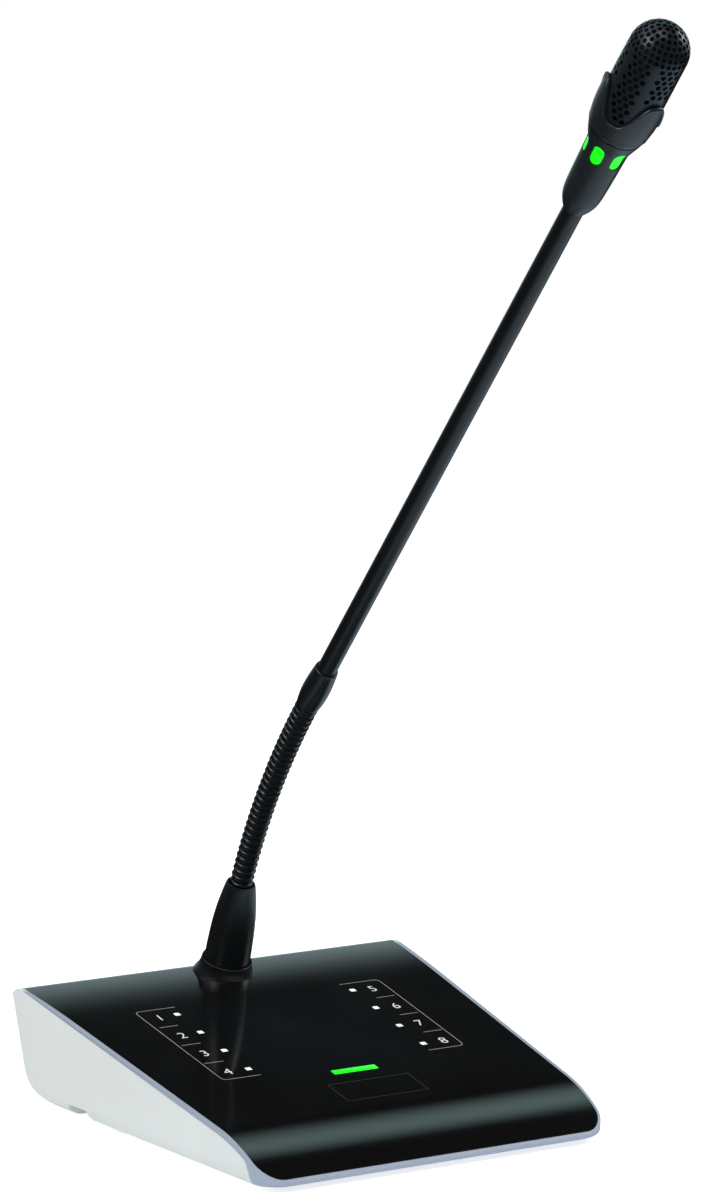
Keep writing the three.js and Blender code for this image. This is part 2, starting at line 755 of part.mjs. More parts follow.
// Case screws and feet
caseScrews.forEach(({ x, y }, i) => {
  const shelfFoot = pillarTop(y) - pillarShelf - seatGap;
  const headFoot = shelfFoot - screwHeadHeight;
  const tip = panelBossFoot(y) + screwBite - seatGap;
  const screw = revolved([
    [0, headFoot],
    [screwHeadRadius, headFoot],
    [screwHeadRadius, shelfFoot],
    [screwRadius - slipGap, shelfFoot],
    [screwRadius - slipGap, tip],
    [0, tip],
  ], smallSides);
  const mesh = piece(`case_screw_${i + 1}`, screw, steel);
  mesh.position.set(x, y, 0);
  station.add(mesh);
});
feet.forEach(({ x, y }, i) => {
  const top = trayBottom + footRecess - seatGap;
  const foot = revolved([
    [0, 0],
    [footRadius - footChamfer, 0],
    [footRadius, footChamfer],
    [footRadius, top],
    [0, top],
  ], middleSides);
  const mesh = piece(`foot_${i + 1}`, foot, rubber);
  mesh.position.set(x, y, 0);
  station.add(mesh);
});

// Main board with its chips and screws
const boardMiddle = (mainBoardRear + mainBoardFront) / 2;
const boardTop = mainBoardHeight + mainBoardThickness;
let mainBoard = solid(plate(
  2 * mainBoardHalfWidth,
  mainBoardLength,
  mainBoardThickness,
  boardCorner,
  boardMiddle,
  mainBoardHeight,
));
for (const { x, placeShare, side, height } of [processor, amplifier]) {
  const y = mainBoardFront + placeShare * mainBoardLength;
  const chip = block(side, side, height + mainBoardThickness / 2, x, y, boardTop - mainBoardThickness / 2);
  mainBoard = mainBoard.add(solid(chip));
}
for (const { x, y } of boardPosts) {
  const hole = cylinder(boardScrewRadius + slipGap, 2 * overrun, mainBoardHeight - overrun, smallSides);
  mainBoard = mainBoard.subtract(solid(hole.translate(x, y, 0)));
}
station.add(piece('main_board', mainBoard, circuitGreen));
boardPosts.forEach(({ x, y }, i) => {
  const seat = boardTop + seatGap;
  const tip = mainBoardHeight - boardScrewBite + seatGap;
  const screw = revolved([
    [0, tip],
    [boardScrewRadius - slipGap, tip],
    [boardScrewRadius - slipGap, seat],
    [boardScrewHeadRadius, seat],
    [boardScrewHeadRadius, seat + boardScrewHeadHeight],
    [0, seat + boardScrewHeadHeight],
  ], smallSides);
  const mesh = piece(`board_screw_${i + 1}`, screw, steel);
  mesh.position.set(x, y, 0);
  station.add(mesh);
});

// Ballast plate
const ballastLow = floorTop + seatGap;
let ballast = solid(plate(
  ballastWidth,
  ballastLength,
  ballastThickness,
  ballastCorner,
  ballastMiddle,
  ballastLow,
));
for (const side of bothSides) {
  const hole = cylinder(ballastPinRadius + slipGap, 2 * overrun, ballastLow - overrun / 2, smallSides);
  ballast = ballast.subtract(solid(hole.translate(side * ballastPinSpacing / 2, ballastMiddle, 0)));
}
station.add(piece('ballast_plate', ballast, steel));

// Flat ribbon: along the main board, round half a turn and back under the touch board
const ribbonMiddle = mainBoardRear - ribbonPlace.fromRear;
const ribbonLow = boardTop + seatGap + ribbonThickness / 2;
const ribbonCeiling = panelHeightAt(ribbonMiddle) + (touchBoardLow - seatGap) / Math.cos(panelSlope);
const ribbonHigh = ribbonCeiling - ribbonThickness;
const ribbonTurnSteps = 8;
const ribbonLine = [new THREE.Vector2(ribbonMiddle + ribbonFlat, ribbonLow)];
for (let step = 0; step <= ribbonTurnSteps; step += 1) {
  const turn = (Math.PI - panelSlope) * step / ribbonTurnSteps;
  const radius = (ribbonHigh - ribbonLow) / (1 + Math.cos(panelSlope));
  ribbonLine.push(new THREE.Vector2(
    ribbonMiddle - radius * Math.sin(turn),
    ribbonLow + radius * (1 - Math.cos(turn)),
  ));
}
const ribbonTurnEnd = ribbonLine[ribbonLine.length - 1];
ribbonLine.push(new THREE.Vector2(
  ribbonTurnEnd.x + ribbonFlat * Math.cos(panelSlope),
  ribbonTurnEnd.y + ribbonFlat * Math.sin(panelSlope),
));
const ribbonEdge = (side) => ribbonLine.map((point, i) => {
  const last = ribbonLine[Math.max(i - 1, 0)];
  const next = ribbonLine[Math.min(i + 1, ribbonLine.length - 1)];
  const along = next.clone().sub(last).normalize();
  return new THREE.Vector2(
    point.x - along.y * side * ribbonThickness / 2,
    point.y + along.x * side * ribbonThickness / 2,
  );
});
const ribbonOutline = [...ribbonEdge(1), ...ribbonEdge(-1).reverse()];
const ribbon = crossPrism(ribbonOutline, ribbonWidth).translate(ribbonPlace.x, 0, 0);
station.add(piece('flat_ribbon', ribbon, orangeFilm));

// Stem bush: shank and flange square to the panel, cup on the leaning axis of the stem
const stemSeat = new THREE.Group();
stemSeat.position.y = stemUpSlope;
slope.add(stemSeat);
const cupRadius = neckRadius + seatGap + seatCupWall;
const cupTurn = seatLean - panelSlope;
const flangeMiddle = seatGap + bushFlangeThickness / 2;
const cupLow = seatGap + slipGap;
const shank = cylinder(bushRadius, bushBelow + flangeMiddle, -bushBelow, middleSides);
const flange = cylinder(bushFlangeRadius, bushFlangeThickness, seatGap, fineSides);
const underCup = cylinder(2 * cupRadius, overrun, flangeMiddle - overrun, smallSides);
const cupHeight = seatHeight + seatCupDepth - cupLow;
const cup = solid(cylinder(cupRadius, cupHeight, cupLow, middleSides).rotateX(cupTurn))
  .subtract(solid(underCup));
const neckSeat = cylinder(neckRadius + seatGap, overrun, seatHeight, middleSides).rotateX(cupTurn);
const cupBore = cylinder(neckBore, seatHeight + overrun, -neckBore, smallSides).rotateX(cupTurn);
const shankBore = cylinder(neckBore, bushBelow + overrun, -bushBelow - overrun, smallSides);
const bush = solid(shank)
  .add(solid(flange))
  .add(cup)
  .subtract(solid(neckSeat))
  .subtract(solid(cupBore))
  .subtract(solid(shankBore));
stemSeat.add(piece('stem_bush', bush, brass));
const washerTop = -panelThickness - seatGap;
const nutTop = washerTop - washerThickness - seatGap;
const ring = (outer, inner, height, top, sides) => solid(cylinder(outer, height, top - height, sides))
  .subtract(solid(cylinder(inner, height + 2 * overrun, top - height - overrun, middleSides)));
const shankHole = bushRadius + slipGap;
const washer = ring(washerRadius, shankHole, washerThickness, washerTop, fineSides);
stemSeat.add(piece('stem_washer', washer, steel));
const nutCorner = nutAcross / 2 / Math.cos(Math.PI / nutSides);
const nutBody = ring(nutCorner, shankHole, nutThickness, nutTop, nutSides);
stemSeat.add(piece('stem_nut', nutBody, brass));

// Collar and boot, on the axis of the boot
const boot = new THREE.Group();
boot.position.set(0, stemPlace, panelHeightAt(stemPlace));
boot.rotation.x = bootLean;
boot.updateMatrix();
station.add(boot);
const intoBoot = boot.matrix.clone().invert();
const nearPanel = crossPrism([
  ...topLine(-seatGap, overrun, overrun),
  new THREE.Vector2(0, 0),
], baseDepth).applyMatrix4(intoBoot);
const collarProfile = [
  [collarTopRadius - collarWall, -collarSkirt],
  [collarRadius, -collarSkirt],
  ...collarHeightShares.map((share, i) => [
    THREE.MathUtils.lerp(collarTopRadius, collarRadius, collarSwellShares[i]),
    share * collarHeight,
  ]),
  [collarTopRadius - collarEdgeRound, collarHeight],
  [collarTopRadius - collarWall, collarHeight - collarEdgeRound],
  [collarTopRadius - collarWall, -collarSkirt],
];
const collar = solid(revolved(collarProfile, fineSides)).subtract(solid(nearPanel));
boot.add(piece('stem_collar', collar, blackSatin));

const bootSwell = bootFootRadius - bootRimRadius;
const bootOuter = bootHeightShares.map((share, i) => [
  bootRimRadius + bootSwell * bootSwellShares[i],
  share * bootHeight,
]);
const bootInner = bootOuter.map(([radius, height]) => [
  radius - THREE.MathUtils.lerp(bootWall, bootRimWall, height / bootHeight),
  height,
]);
const bootProfile = [bootInner[0], ...bootOuter, ...bootInner.reverse()];
const bootSeatCut = crossPrism([
  ...topLine(-(seatGap + bushFlangeThickness + seatGap), overrun, overrun),
  new THREE.Vector2(0, 0),
], baseDepth).applyMatrix4(intoBoot);
const bootShell = solid(revolved(bootProfile, fineSides)).subtract(solid(bootSeatCut));
boot.add(piece('stem_boot', bootShell, blackSatin));

// Gooseneck path: the lean grows from the seat to the tube, fastest at the foot
const neckLength = plainFoot + ribCount * ribPitch + plainTop;
const neckLeanAt = (along) => THREE.MathUtils.lerp(seatLean, stemLean, (along / neckLength) ** bendShare);
const seatPoint = (height, lean) => boot.position.clone().add(
  new THREE.Vector3(0, -Math.sin(lean), Math.cos(lean)).multiplyScalar(height),
);
const neckFoot = seatPoint(seatHeight + seatGap, seatLean);
function neckPoint(along) {
  const point = neckFoot.clone();
  const steps = Math.max(1, Math.round(along / pathStep));
  for (let step = 0; step < steps; step += 1) {
    const lean = neckLeanAt((step + 1 / 2) * along / steps);
    point.y -= Math.sin(lean) * along / steps;
    point.z += Math.cos(lean) * along / steps;
  }
  return point;
}
function neckRing(along, radius, sides) {
  const middle = neckPoint(along);
  const lean = neckLeanAt(along);
  const ringPoints = [];
  for (let i = 0; i < sides; i += 1) {
    const angle = 2 * Math.PI * (i + 1 / 2) / sides;
    const forward = radius * Math.sin(angle);
    ringPoints.push(new THREE.Vector3(
      radius * Math.cos(angle),
      middle.y + forward * Math.cos(lean),
      middle.z + forward * Math.sin(lean),
    ));
  }
  return ringPoints;
}
const neckRings = [neckRing(0, neckRadius, neckSides)];
for (let rib = 0; rib < ribCount; rib += 1) {
  const foot = plainFoot + rib * ribPitch;
  neckRings.push(neckRing(foot + ribEdgeShares[0] * ribPitch, neckRadius, neckSides));
  neckRings.push(neckRing(foot + ribEdgeShares[1] * ribPitch, neckGrooveRadius, neckSides));
}
neckRings.push(neckRing(neckLength - plainTop + ribEdgeShares[0] * ribPitch, neckRadius, neckSides));
neckRings.push(neckRing(neckLength, neckRadius, neckSides));
const boreSpan = boreRingRibs * ribPitch;
const boreSpans = Math.round(neckLength / boreSpan);
for (let span = boreSpans; span >= 0; span -= 1) {
  neckRings.push(neckRing(span / boreSpans * neckLength, neckBore, neckSides));
}
station.add(piece('gooseneck', loft(neckRings, true), blackMetal));
const neckCableRings = [];
for (let span = 0; span <= 2 * boreSpans; span += 1) {
  const along = seatGap + span / (2 * boreSpans) * (neckLength - 2 * seatGap);
  neckCableRings.push(neckRing(along, cableRadius, cableSides));
}
station.add(piece('neck_cable', loft(neckCableRings, false), rubber));

// Cable from the bush to its plug on the main board
const plugMiddle = mainBoardRear - plugPlace.fromRear;
const plugRear = plugMiddle + plugLength / 2 + seatGap;
const plugMiddleZ = boardTop + seatGap + plugHeight / 2;
const cableRoute = new THREE.CatmullRomCurve3([
  seatPoint(seatHeight - seatGap, seatLean),
  seatPoint(seatHeight / 2, seatLean),
  seatPoint(-bushBelow / 2, panelSlope),
  seatPoint(-bushBelow, panelSlope),
  seatPoint(-bushBelow - cableDrop, panelSlope),
  new THREE.Vector3(plugPlace.x, plugRear + cableRun, plugMiddleZ),
  new THREE.Vector3(plugPlace.x, plugRear, plugMiddleZ),
], false, 'centripetal');
const cableSection = new THREE.Shape().absarc(0, 0, cableRadius, 0, 2 * Math.PI, false);
const baseCable = new THREE.ExtrudeGeometry(cableSection, {
  steps: Math.round(cableRoute.getLength() / (2 * cableRadius)),
  curveSegments: cableSides / 2,
  extrudePath: cableRoute,
});
station.add(piece('base_cable', baseCable, rubber));
const plug = block(plugWidth, plugLength, plugHeight, plugPlace.x, plugMiddle, boardTop + seatGap);
station.add(piece('cable_plug', plug, greyLens));

// Frame of the straight stem: z up the tube from the end of the gooseneck
const stem = new THREE.Group();
stem.position.copy(neckPoint(neckLength));
stem.rotation.x = stemLean;
station.add(stem);
const sleeveSwell = sleeveHeightShares.map((share, i) => [
  THREE.MathUtils.lerp(sleeveFootRadius, sleeveTopRadius, share)
    + (sleeveBellyRadius - sleeveFootRadius) * sleeveSwellShares[i],
  seatGap + share * (sleeveLength - seatGap),
]);
const sleeveSeat = cylinder(
  tubeRadius + slipGap,
  tubeSleeveSeat + overrun,
  sleeveLength - tubeSleeveSeat,
  middleSides,
);
const sleeve = solid(revolved([[0, seatGap], ...sleeveSwell, [0, sleeveLength]], fineSides))
  .subtract(solid(cylinder(neckBore, sleeveLength, 0, smallSides)))
  .subtract(solid(sleeveSeat));
stem.add(piece('stem_sleeve', sleeve, blackSatin));
const tubeFoot = sleeveLength - tubeSleeveSeat + seatGap;
const headFoot = sleeveLength + tubeShown;
const tubeTop = headFoot + tubeHeadSeat - seatGap;
const tubeInner = tubeRadius - tubeWall;
const tube = revolved([
  [tubeInner, tubeFoot],
  [tubeRadius, tubeFoot],
  [tubeRadius, tubeTop],
  [tubeInner, tubeTop],
  [tubeInner, tubeFoot],
], middleSides);
stem.add(piece('stem_tube', tube, blackMetal));

// Microphone head, on the axis of the tube
const head = new THREE.Group();
head.position.z = headFoot;
stem.add(head);
const headTop = headHeights[headHeights.length - 1];
const headRadiusAt = (height) => {
  const i = Math.max(1, headHeights.findIndex((step) => step >= height));
  const share = (height - headHeights[i - 1]) / (headHeights[i] - headHeights[i - 1]);
  return THREE.MathUtils.lerp(headRadii[i - 1], headRadii[i], share);
};
// A solid that follows the outline of the head at a depth, between two heights
function headCore(depth, low, high) {
  const steps = [low, ...headHeights.filter((height) => height > low && height < high), high];
  const outline = steps.map((height) => [headRadiusAt(height) - depth, height]);
  return solid(revolved([[0, low], ...outline, [0, high]], fineSides));
}
const chamberFloor = ringBoardLift - seatGap;
const chamberSteps = [chamberFloor, ...headHeights.filter((height) => height > chamberFloor)];
const chamber = [
  [0, chamberFloor],
  ...chamberSteps.map((height) => [headRadiusAt(height) - headWall, height]),
  [headRadiusAt(headTop) - headWall, headTop + overrun],
  [0, headTop + overrun],
];
// A radial bar with round ends that fills one window of the head
function windowBar(width, length) {
  const half = new THREE.Shape();
  half.absarc(0, (length - width) / 2, width / 2, 0, Math.PI, false);
  half.absarc(0, (width - length) / 2, width / 2, Math.PI, 2 * Math.PI, false);
  const depth = headRadiusAt(headTop);
  const curveSteps = 3;
  const bar = new THREE.ExtrudeGeometry(half, { depth, bevelEnabled: false, curveSegments: curveSteps });
  return bar.rotateX(Math.PI / 2).translate(0, depth + lightRingMargin, windowMiddle).rotateZ(Math.PI);
}
const windowTurns = Array.from({ length: windowCount }, (_, i) => windowTurn + 2 * Math.PI * i / windowCount);
let headBody = headCore(0, 0, headTop)
  .subtract(solid(revolved(chamber, fineSides)))
  .subtract(solid(cylinder(neckBore, headTop, -overrun / 2, smallSides)))
  .subtract(solid(cylinder(tubeRadius + slipGap, tubeHeadSeat + overrun, -overrun, middleSides)));
const ringLow = windowMiddle - windowLength / 2 - lightRingMargin;
const ringHigh = windowMiddle + windowLength / 2 + lightRingMargin;
const ringDepth = headWall + seatGap;
const lensSkin = headCore(lensSink, ringLow, ringHigh);
const lensRoot = headCore(ringDepth + lightRingWall / 2, ringLow, ringHigh);
let lightRing = headCore(ringDepth, ringLow, ringHigh)
  .subtract(solid(cylinder(headRadiusAt(ringLow) - ringDepth - lightRingWall, headTop, 0, fineSides)));
for (const turn of windowTurns) {
  const hole = windowBar(windowWidth, windowLength).rotateZ(turn);
  headBody = headBody.subtract(solid(hole));
  const bar = windowBar(windowWidth - 2 * slipGap, windowLength - 2 * slipGap).rotateZ(turn);
  lightRing = lightRing.add(solid(bar).intersect(lensSkin).subtract(lensRoot));
}
head.add(piece('head_body', headBody, headBlack));
head.add(piece('light_ring', lightRing, greenLens));
const ringBoardRadius = headRadiusAt(ringBoardLift) - headWall - seatGap;
const ringBoardTop = ringBoardLift + ringBoardThickness;
const ringBoard = ring(ringBoardRadius, neckBore, ringBoardThickness, ringBoardTop, middleSides);
head.add(piece('ring_board', ringBoard, circuitGreen));

// Lobed collar of the head: a cup whose edge rises and falls round the axis
const cupFoot = cupHeights[0];
const cupRadiusAt = (height) => {
  const found = cupHeights.findIndex((step) => step >= height);
  const i = found < 0 ? cupHeights.length - 1 : Math.max(1, found);
  const share = (height - cupHeights[i - 1]) / (cupHeights[i] - cupHeights[i - 1]);
  return THREE.MathUtils.lerp(cupRadii[i - 1], cupRadii[i], share);
};
function lobeEdgeAt(angle) {
  const wave = (1 + Math.cos(lobeCount * (angle - lobeTurn))) / 2;
  return lobeLow + (lobeHigh - lobeLow) * wave ** lobeFullness;
}
const cupInner = grilleFootRadius + seatGap;
const cupFloorTop = cupFoot + cupFloor;
const cupWallShares = [0, 0.3, 0.65, 1];
const cupColumns = [];
for (let i = 0; i < cupSides; i += 1) {
  const angle = 2 * Math.PI * i / cupSides;
  const edge = lobeEdgeAt(angle);
  const wallTop = edge - lobeBeadDepth;
  const column = [[cupHole, cupFoot]];
  for (const share of cupWallShares) {
    const height = THREE.MathUtils.lerp(cupFoot, wallTop, share);
    column.push([cupRadiusAt(height), height]);
  }
  column.push([cupRadiusAt(edge) + lobeBead, edge - lobeBeadDepth / 2]);
  column.push([(cupRadiusAt(edge) + cupInner) / 2, edge]);
  column.push([cupInner, edge - lobeBeadDepth / 2]);
  column.push([cupInner, cupFloorTop]);
  column.push([cupHole, cupFloorTop]);
  cupColumns.push(column.map(([radius, height]) => new THREE.Vector3(
    radius * Math.cos(angle),
    radius * Math.sin(angle),
    height,
  )));
}
const cupRings = cupColumns[0].map((_, row) => cupColumns.map((column) => column[row]));
head.add(piece('head_collar', loft(cupRings, true), headBlack));

// Grille: a perforated tube that closes in a dome
const grilleFoot = cupFloorTop + seatGap;
const domeSteps = 4;
function grilleLine(depth) {
  const line = [[grilleFootRadius - depth, grilleFoot]];
  for (let step = 0; step <= domeSteps; step += 1) {
    const rise = Math.PI / 2 * step / domeSteps;
    const radius = domeRadius - depth;
    line.push([step === domeSteps ? 0 : radius * Math.cos(rise), domeMiddle + radius * Math.sin(rise)]);
  }
  return line;
}
const columnCount = fieldCount * (fieldColumns + stripColumns);
const columnTurn = 2 * Math.PI / columnCount;
const grilleOutline = [...grilleLine(0), ...grilleLine(grilleWall).reverse(), grilleLine(0)[0]];
const grilleShell = solid(revolved(grilleOutline, columnCount).rotateZ(fieldTurn + columnTurn / 2));
// A punch that narrows towards the axis, so that its walls have no seams
function punch() {
  const reach = 2 * domeRadius;
  const cone = new THREE.ConeGeometry(holeRadius * reach / domeRadius, reach, holeSides);
  return cone.rotateZ(Math.PI / 2).translate(reach / 2, 0, 0);
}
const holes = [];
const fieldRows = Math.floor((domeMiddle - grilleFoot) / holePitch);
for (let field = 0; field < fieldCount; field += 1) {
  for (let column = 0; column < fieldColumns; column += 1) {
    const place = column - (fieldColumns - 1) / 2;
    const angle = fieldTurn + 2 * Math.PI * field / fieldCount + place * columnTurn;
    for (let row = 0; row < fieldRows; row += 1) {
      const height = domeMiddle - (row + 1 / 2 + (column % 2) / 2) * holePitch;
      if (height > lobeEdgeAt(angle) + holeRadius) {
        holes.push(punch().rotateZ(angle).translate(0, 0, height));
      }
    }
  }
}
const domeRows = Math.floor(Math.PI / 2 / domeRowTurn);
for (let row = 0; row < domeRows; row += 1) {
  const rise = (row + 1 / 2) * domeRowTurn;
  const count = Math.round(2 * Math.PI * domeRadius * Math.cos(rise) / holePitch);
  for (let i = 0; i < count; i += 1) {
    const angle = 2 * Math.PI * (i + (row % 2) / 2) / count;
    holes.push(punch().rotateY(-rise).rotateZ(angle).translate(0, 0, domeMiddle));
  }
}
const grille = holes.reduce((shell, hole) => shell.subtract(solid(hole)), grilleShell);
head.add(piece('grille', grille, blackMetal));

// Foam windscreen, capsule and mount
const foamDepth = grilleWall + windscreenGap;
const foamFootRadius = THREE.MathUtils.mapLinear(
  windscreenLow,
  grilleFoot,
  domeMiddle,
  grilleFootRadius,
  domeRadius,
) - foamDepth;
const foamLine = grilleLine(foamDepth).slice(1);
const foamWell = capsuleRadius + seatGap;
const foamWellTop = capsuleLift + capsuleHeight + seatGap;
const foam = revolved([
  [foamWell, windscreenLow],
  [foamFootRadius, windscreenLow],
  ...foamLine,
  [0, foamWellTop],
  [foamWell, foamWellTop],
  [foamWell, windscreenLow],
], middleSides);
head.add(piece('windscreen', foam, darkFoam));
const capsule = cylinder(capsuleRadius, capsuleHeight, capsuleLift, middleSides);
head.add(piece('mic_capsule', capsule, steel));
const mountLow = cupFloorTop + seatGap;
const mountTop = capsuleLift - seatGap;
const mountBody = solid(cylinder(mountFlangeRadius, mountFlangeThickness, mountLow, middleSides))
  .add(solid(cylinder(mountRadius, mountTop - mountLow, mountLow, smallSides)))
  .subtract(solid(cylinder(mountBore, mountTop, mountLow / 2, smallSides)));
head.add(piece('capsule_mount', mountBody, blackSatin));
const stemCableLength = headFoot + mountTop - seatGap;
const stemCable = cylinder(cableRadius, stemCableLength - seatGap, seatGap, cableSides);
stem.add(piece('stem_cable', stemCable, rubber));

// The middle of the whole part stands over the origin
station.updateMatrixWorld(true);
const bounds = new THREE.Box3().setFromObject(station, true);
station.position.y = -(bounds.min.y + bounds.max.y) / 2;

export default station;
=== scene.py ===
"""A desk paging call station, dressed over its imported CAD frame.

The base slopes down towards the user, who sits on the -Y side. Metres, +Z up.
"""
import math

import bmesh
import bpy
from mathutils import Matrix, Vector
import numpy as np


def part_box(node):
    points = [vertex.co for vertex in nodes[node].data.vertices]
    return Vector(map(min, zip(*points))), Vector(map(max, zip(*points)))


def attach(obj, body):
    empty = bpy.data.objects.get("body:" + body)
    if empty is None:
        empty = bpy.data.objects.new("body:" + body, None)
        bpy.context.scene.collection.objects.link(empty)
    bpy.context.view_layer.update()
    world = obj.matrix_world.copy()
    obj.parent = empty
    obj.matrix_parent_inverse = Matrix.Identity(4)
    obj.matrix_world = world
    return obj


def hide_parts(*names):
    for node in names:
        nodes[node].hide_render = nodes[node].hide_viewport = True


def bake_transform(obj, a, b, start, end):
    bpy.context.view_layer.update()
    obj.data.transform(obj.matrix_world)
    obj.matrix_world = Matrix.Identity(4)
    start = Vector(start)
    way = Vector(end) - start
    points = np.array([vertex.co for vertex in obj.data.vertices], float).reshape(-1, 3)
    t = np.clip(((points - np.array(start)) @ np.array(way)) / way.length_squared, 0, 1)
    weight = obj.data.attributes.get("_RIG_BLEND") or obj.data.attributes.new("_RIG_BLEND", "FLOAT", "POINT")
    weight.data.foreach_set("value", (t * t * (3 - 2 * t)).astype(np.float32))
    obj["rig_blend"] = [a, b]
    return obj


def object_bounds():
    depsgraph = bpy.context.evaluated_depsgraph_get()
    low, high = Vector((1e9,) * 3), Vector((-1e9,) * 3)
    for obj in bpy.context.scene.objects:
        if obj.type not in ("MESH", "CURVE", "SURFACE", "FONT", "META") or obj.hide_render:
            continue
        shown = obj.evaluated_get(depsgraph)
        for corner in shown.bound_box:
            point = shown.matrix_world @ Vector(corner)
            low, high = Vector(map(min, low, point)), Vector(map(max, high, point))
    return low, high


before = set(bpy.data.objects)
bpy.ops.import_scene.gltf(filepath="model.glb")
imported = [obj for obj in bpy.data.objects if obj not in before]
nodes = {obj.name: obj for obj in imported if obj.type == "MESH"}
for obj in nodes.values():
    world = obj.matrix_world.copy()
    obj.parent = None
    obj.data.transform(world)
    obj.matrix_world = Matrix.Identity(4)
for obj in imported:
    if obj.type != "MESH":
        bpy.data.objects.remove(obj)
packed_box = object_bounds()
mm = 0.001

# Camera
# A long lens looks down a little at the station from its front left.
camera_place = Vector((-866.14, -1342.36, 417.64)) * mm
camera_heading = math.radians(32)
camera_dip = math.radians(8)
camera_lens = 144

bpy.ops.object.camera_add(
    location=camera_place,
    rotation=(math.pi / 2 - camera_dip, 0, -camera_heading),
)
camera = bpy.context.object
camera.data.lens = camera_lens
bpy.context.scene.camera = camera

# Studio
# A white room round the object. What glossy faces mirror of it is a pale horizon behind, a dark
# ceiling, and one long strip of light that hangs across it in front of the zenith.
room_tones = (
    (0.000, (0.80, 1.08, 1.12, 1)),      # shares of the turn from behind, over the top, to the front
    (0.168, (0.80, 1.08, 1.12, 1)),
    (0.204, (0.000, 0.000, 0.000, 1)),
    (0.262, (0.000, 0.000, 0.000, 1)),
    (0.375, (0.95, 1.38, 1.36, 1)),
    (0.450, (0.000, 0.000, 0.000, 1)),
    (0.700, (0.02, 0.025, 0.03, 1)),
    (1.000, (0.12, 0.14, 0.15, 1)),
)
left_tone = 0.12                  # below the strip, the room is darker towards the left
left_edge = -0.2                  # where the darkening ends and starts, as the X of the direction
right_edge = 0.42
strip_foot = 0.4                  # where the strip takes over, as the Z of the direction
strip_full = 0.7
fill_level = 0.40
white = (1, 1, 1, 1)

scene = bpy.context.scene
scene.view_settings.view_transform = "Standard"
world = bpy.data.worlds.new("white_studio")
world.use_nodes = True
scene.world = world
room = world.node_tree
room.nodes.clear()


def feed(node, inputs):
    """Set the inputs of a node, or link them where the value is another node's output."""
    for socket, value in dict(inputs).items():
        if isinstance(value, bpy.types.NodeSocket):
            node.id_data.links.new(value, node.inputs[socket])
        else:
            node.inputs[socket].default_value = value
    return node


def add_node(tree, kind, inputs=(), **settings):
    """Add a shader node, set it and feed it."""
    made = tree.nodes.new("ShaderNode" + kind)
    for setting, value in settings.items():
        setattr(made, setting, value)
    return feed(made, inputs)


def math_node(tree, operation, *values):
    return add_node(tree, "Math", enumerate(values), operation=operation).outputs[0]


def vector_node(tree, operation, *values):
    return add_node(tree, "VectorMath", enumerate(values), operation=operation).outputs


def range_node(tree, value, low, high, to_low=0, to_high=1, kind="LINEAR"):
    limits = {"Value": value, "From Min": low, "From Max": high, "To Min": to_low, "To Max": to_high}
    return add_node(tree, "MapRange", limits, interpolation_type=kind).outputs["Result"]


def mix_node(tree, share, low, high):
    """A mix of two colours."""
    inputs = {"Factor": share, "A": low, "B": high}
    return add_node(tree, "Mix", inputs, data_type="RGBA").outputs["Result"]


def new_material(name):
    made = bpy.data.materials.new(name)
    made.use_nodes = True
    return made, made.node_tree, made.node_tree.nodes["Principled BSDF"]


ray = add_node(room, "LightPath").outputs
axes = add_node(room, "SeparateXYZ", {0: add_node(room, "TexCoord").outputs["Generated"]}).outputs
turn_share = math_node(room, "DIVIDE", math_node(room, "ARCTAN2", axes["Z"], axes["Y"]), math.pi)
tones = add_node(room, "ValToRGB", {0: turn_share})
tones.color_ramp.interpolation = "EASE"
tones.color_ramp.elements[0].color = room_tones[0][1]
tones.color_ramp.elements[1].color = room_tones[-1][1]
for share, tone in room_tones[1:-1]:
    tones.color_ramp.elements.new(share).color = tone
across = range_node(room, axes["X"], left_edge, right_edge, left_tone, kind="SMOOTHSTEP")
overhead = range_node(room, axes["Z"], strip_foot, strip_full, kind="SMOOTHSTEP")
level = math_node(room, "MAXIMUM", across, overhead)
mirrored = add_node(room, "Background", {"Color": tones.outputs[0], "Strength": level})
fill = add_node(room, "Background", {"Color": white, "Strength": fill_level})
seen = add_node(room, "Background", {"Color": white})
by_gloss = add_node(
    room, "MixShader", {0: ray["Is Glossy Ray"], 1: fill.outputs[0], 2: mirrored.outputs[0]},
)
direct = math_node(room, "MAXIMUM", ray["Is Camera Ray"], ray["Is Transmission Ray"])
by_sight = add_node(room, "MixShader", {0: direct, 1: by_gloss.outputs[0], 2: seen.outputs[0]})
add_node(room, "OutputWorld", {0: by_sight.outputs[0]})

# Soft boxes: name, heading and rise in degrees, distance, size and power
box_target = Vector((0, 0, 0.2))
for name, heading, lift, distance, size, power in (
    ("left_soft_box", -75, 38, 1.9, 1.1, 16),
    ("right_soft_box", 78, 30, 1.9, 0.9, 12),
    ("front_soft_box", -10, 62, 2.0, 1.0, 8),
    ("top_soft_box", -92, 65, 0.95, 1.1, 2.5),
):
    heading = math.radians(heading)
    lift = math.radians(lift)
    toward = Vector((
        math.sin(heading) * math.cos(lift),
        -math.cos(heading) * math.cos(lift),
        math.sin(lift),
    ))
    bpy.ops.object.light_add(type="AREA", location=box_target + toward * distance)
    lamp = bpy.context.object
    lamp.name = name
    lamp.rotation_euler = toward.to_track_quat("Z", "Y").to_euler()
    lamp.data.shape = "DISK"
    lamp.data.size = size
    lamp.data.energy = power

# Floor: a pale desk top that runs out to the white room
floor_radius = 6
floor_sides = 96
floor_tone = (0.86, 0.86, 0.86, 1)
floor_roughness = 0.9
floor_lift = 0.66                 # glow that the camera sees
bounce_share = 0.5                # and how much of it lights the object from below
# Glossy faces see the desk with painted light and shade: a pale blue pool round one place, and black further
# out
floor_painted_light_tone = (0.66, 0.84, 0.95, 1)
floor_painted_light_place = (0.22, -0.10, 0)
floor_near = 0.22                 # the painted light that glossy faces mirror off the desk fades to painted shade from here
floor_far = 0.55
floor_painted_shade_tone = (0.01, 0.01, 0.01, 1)

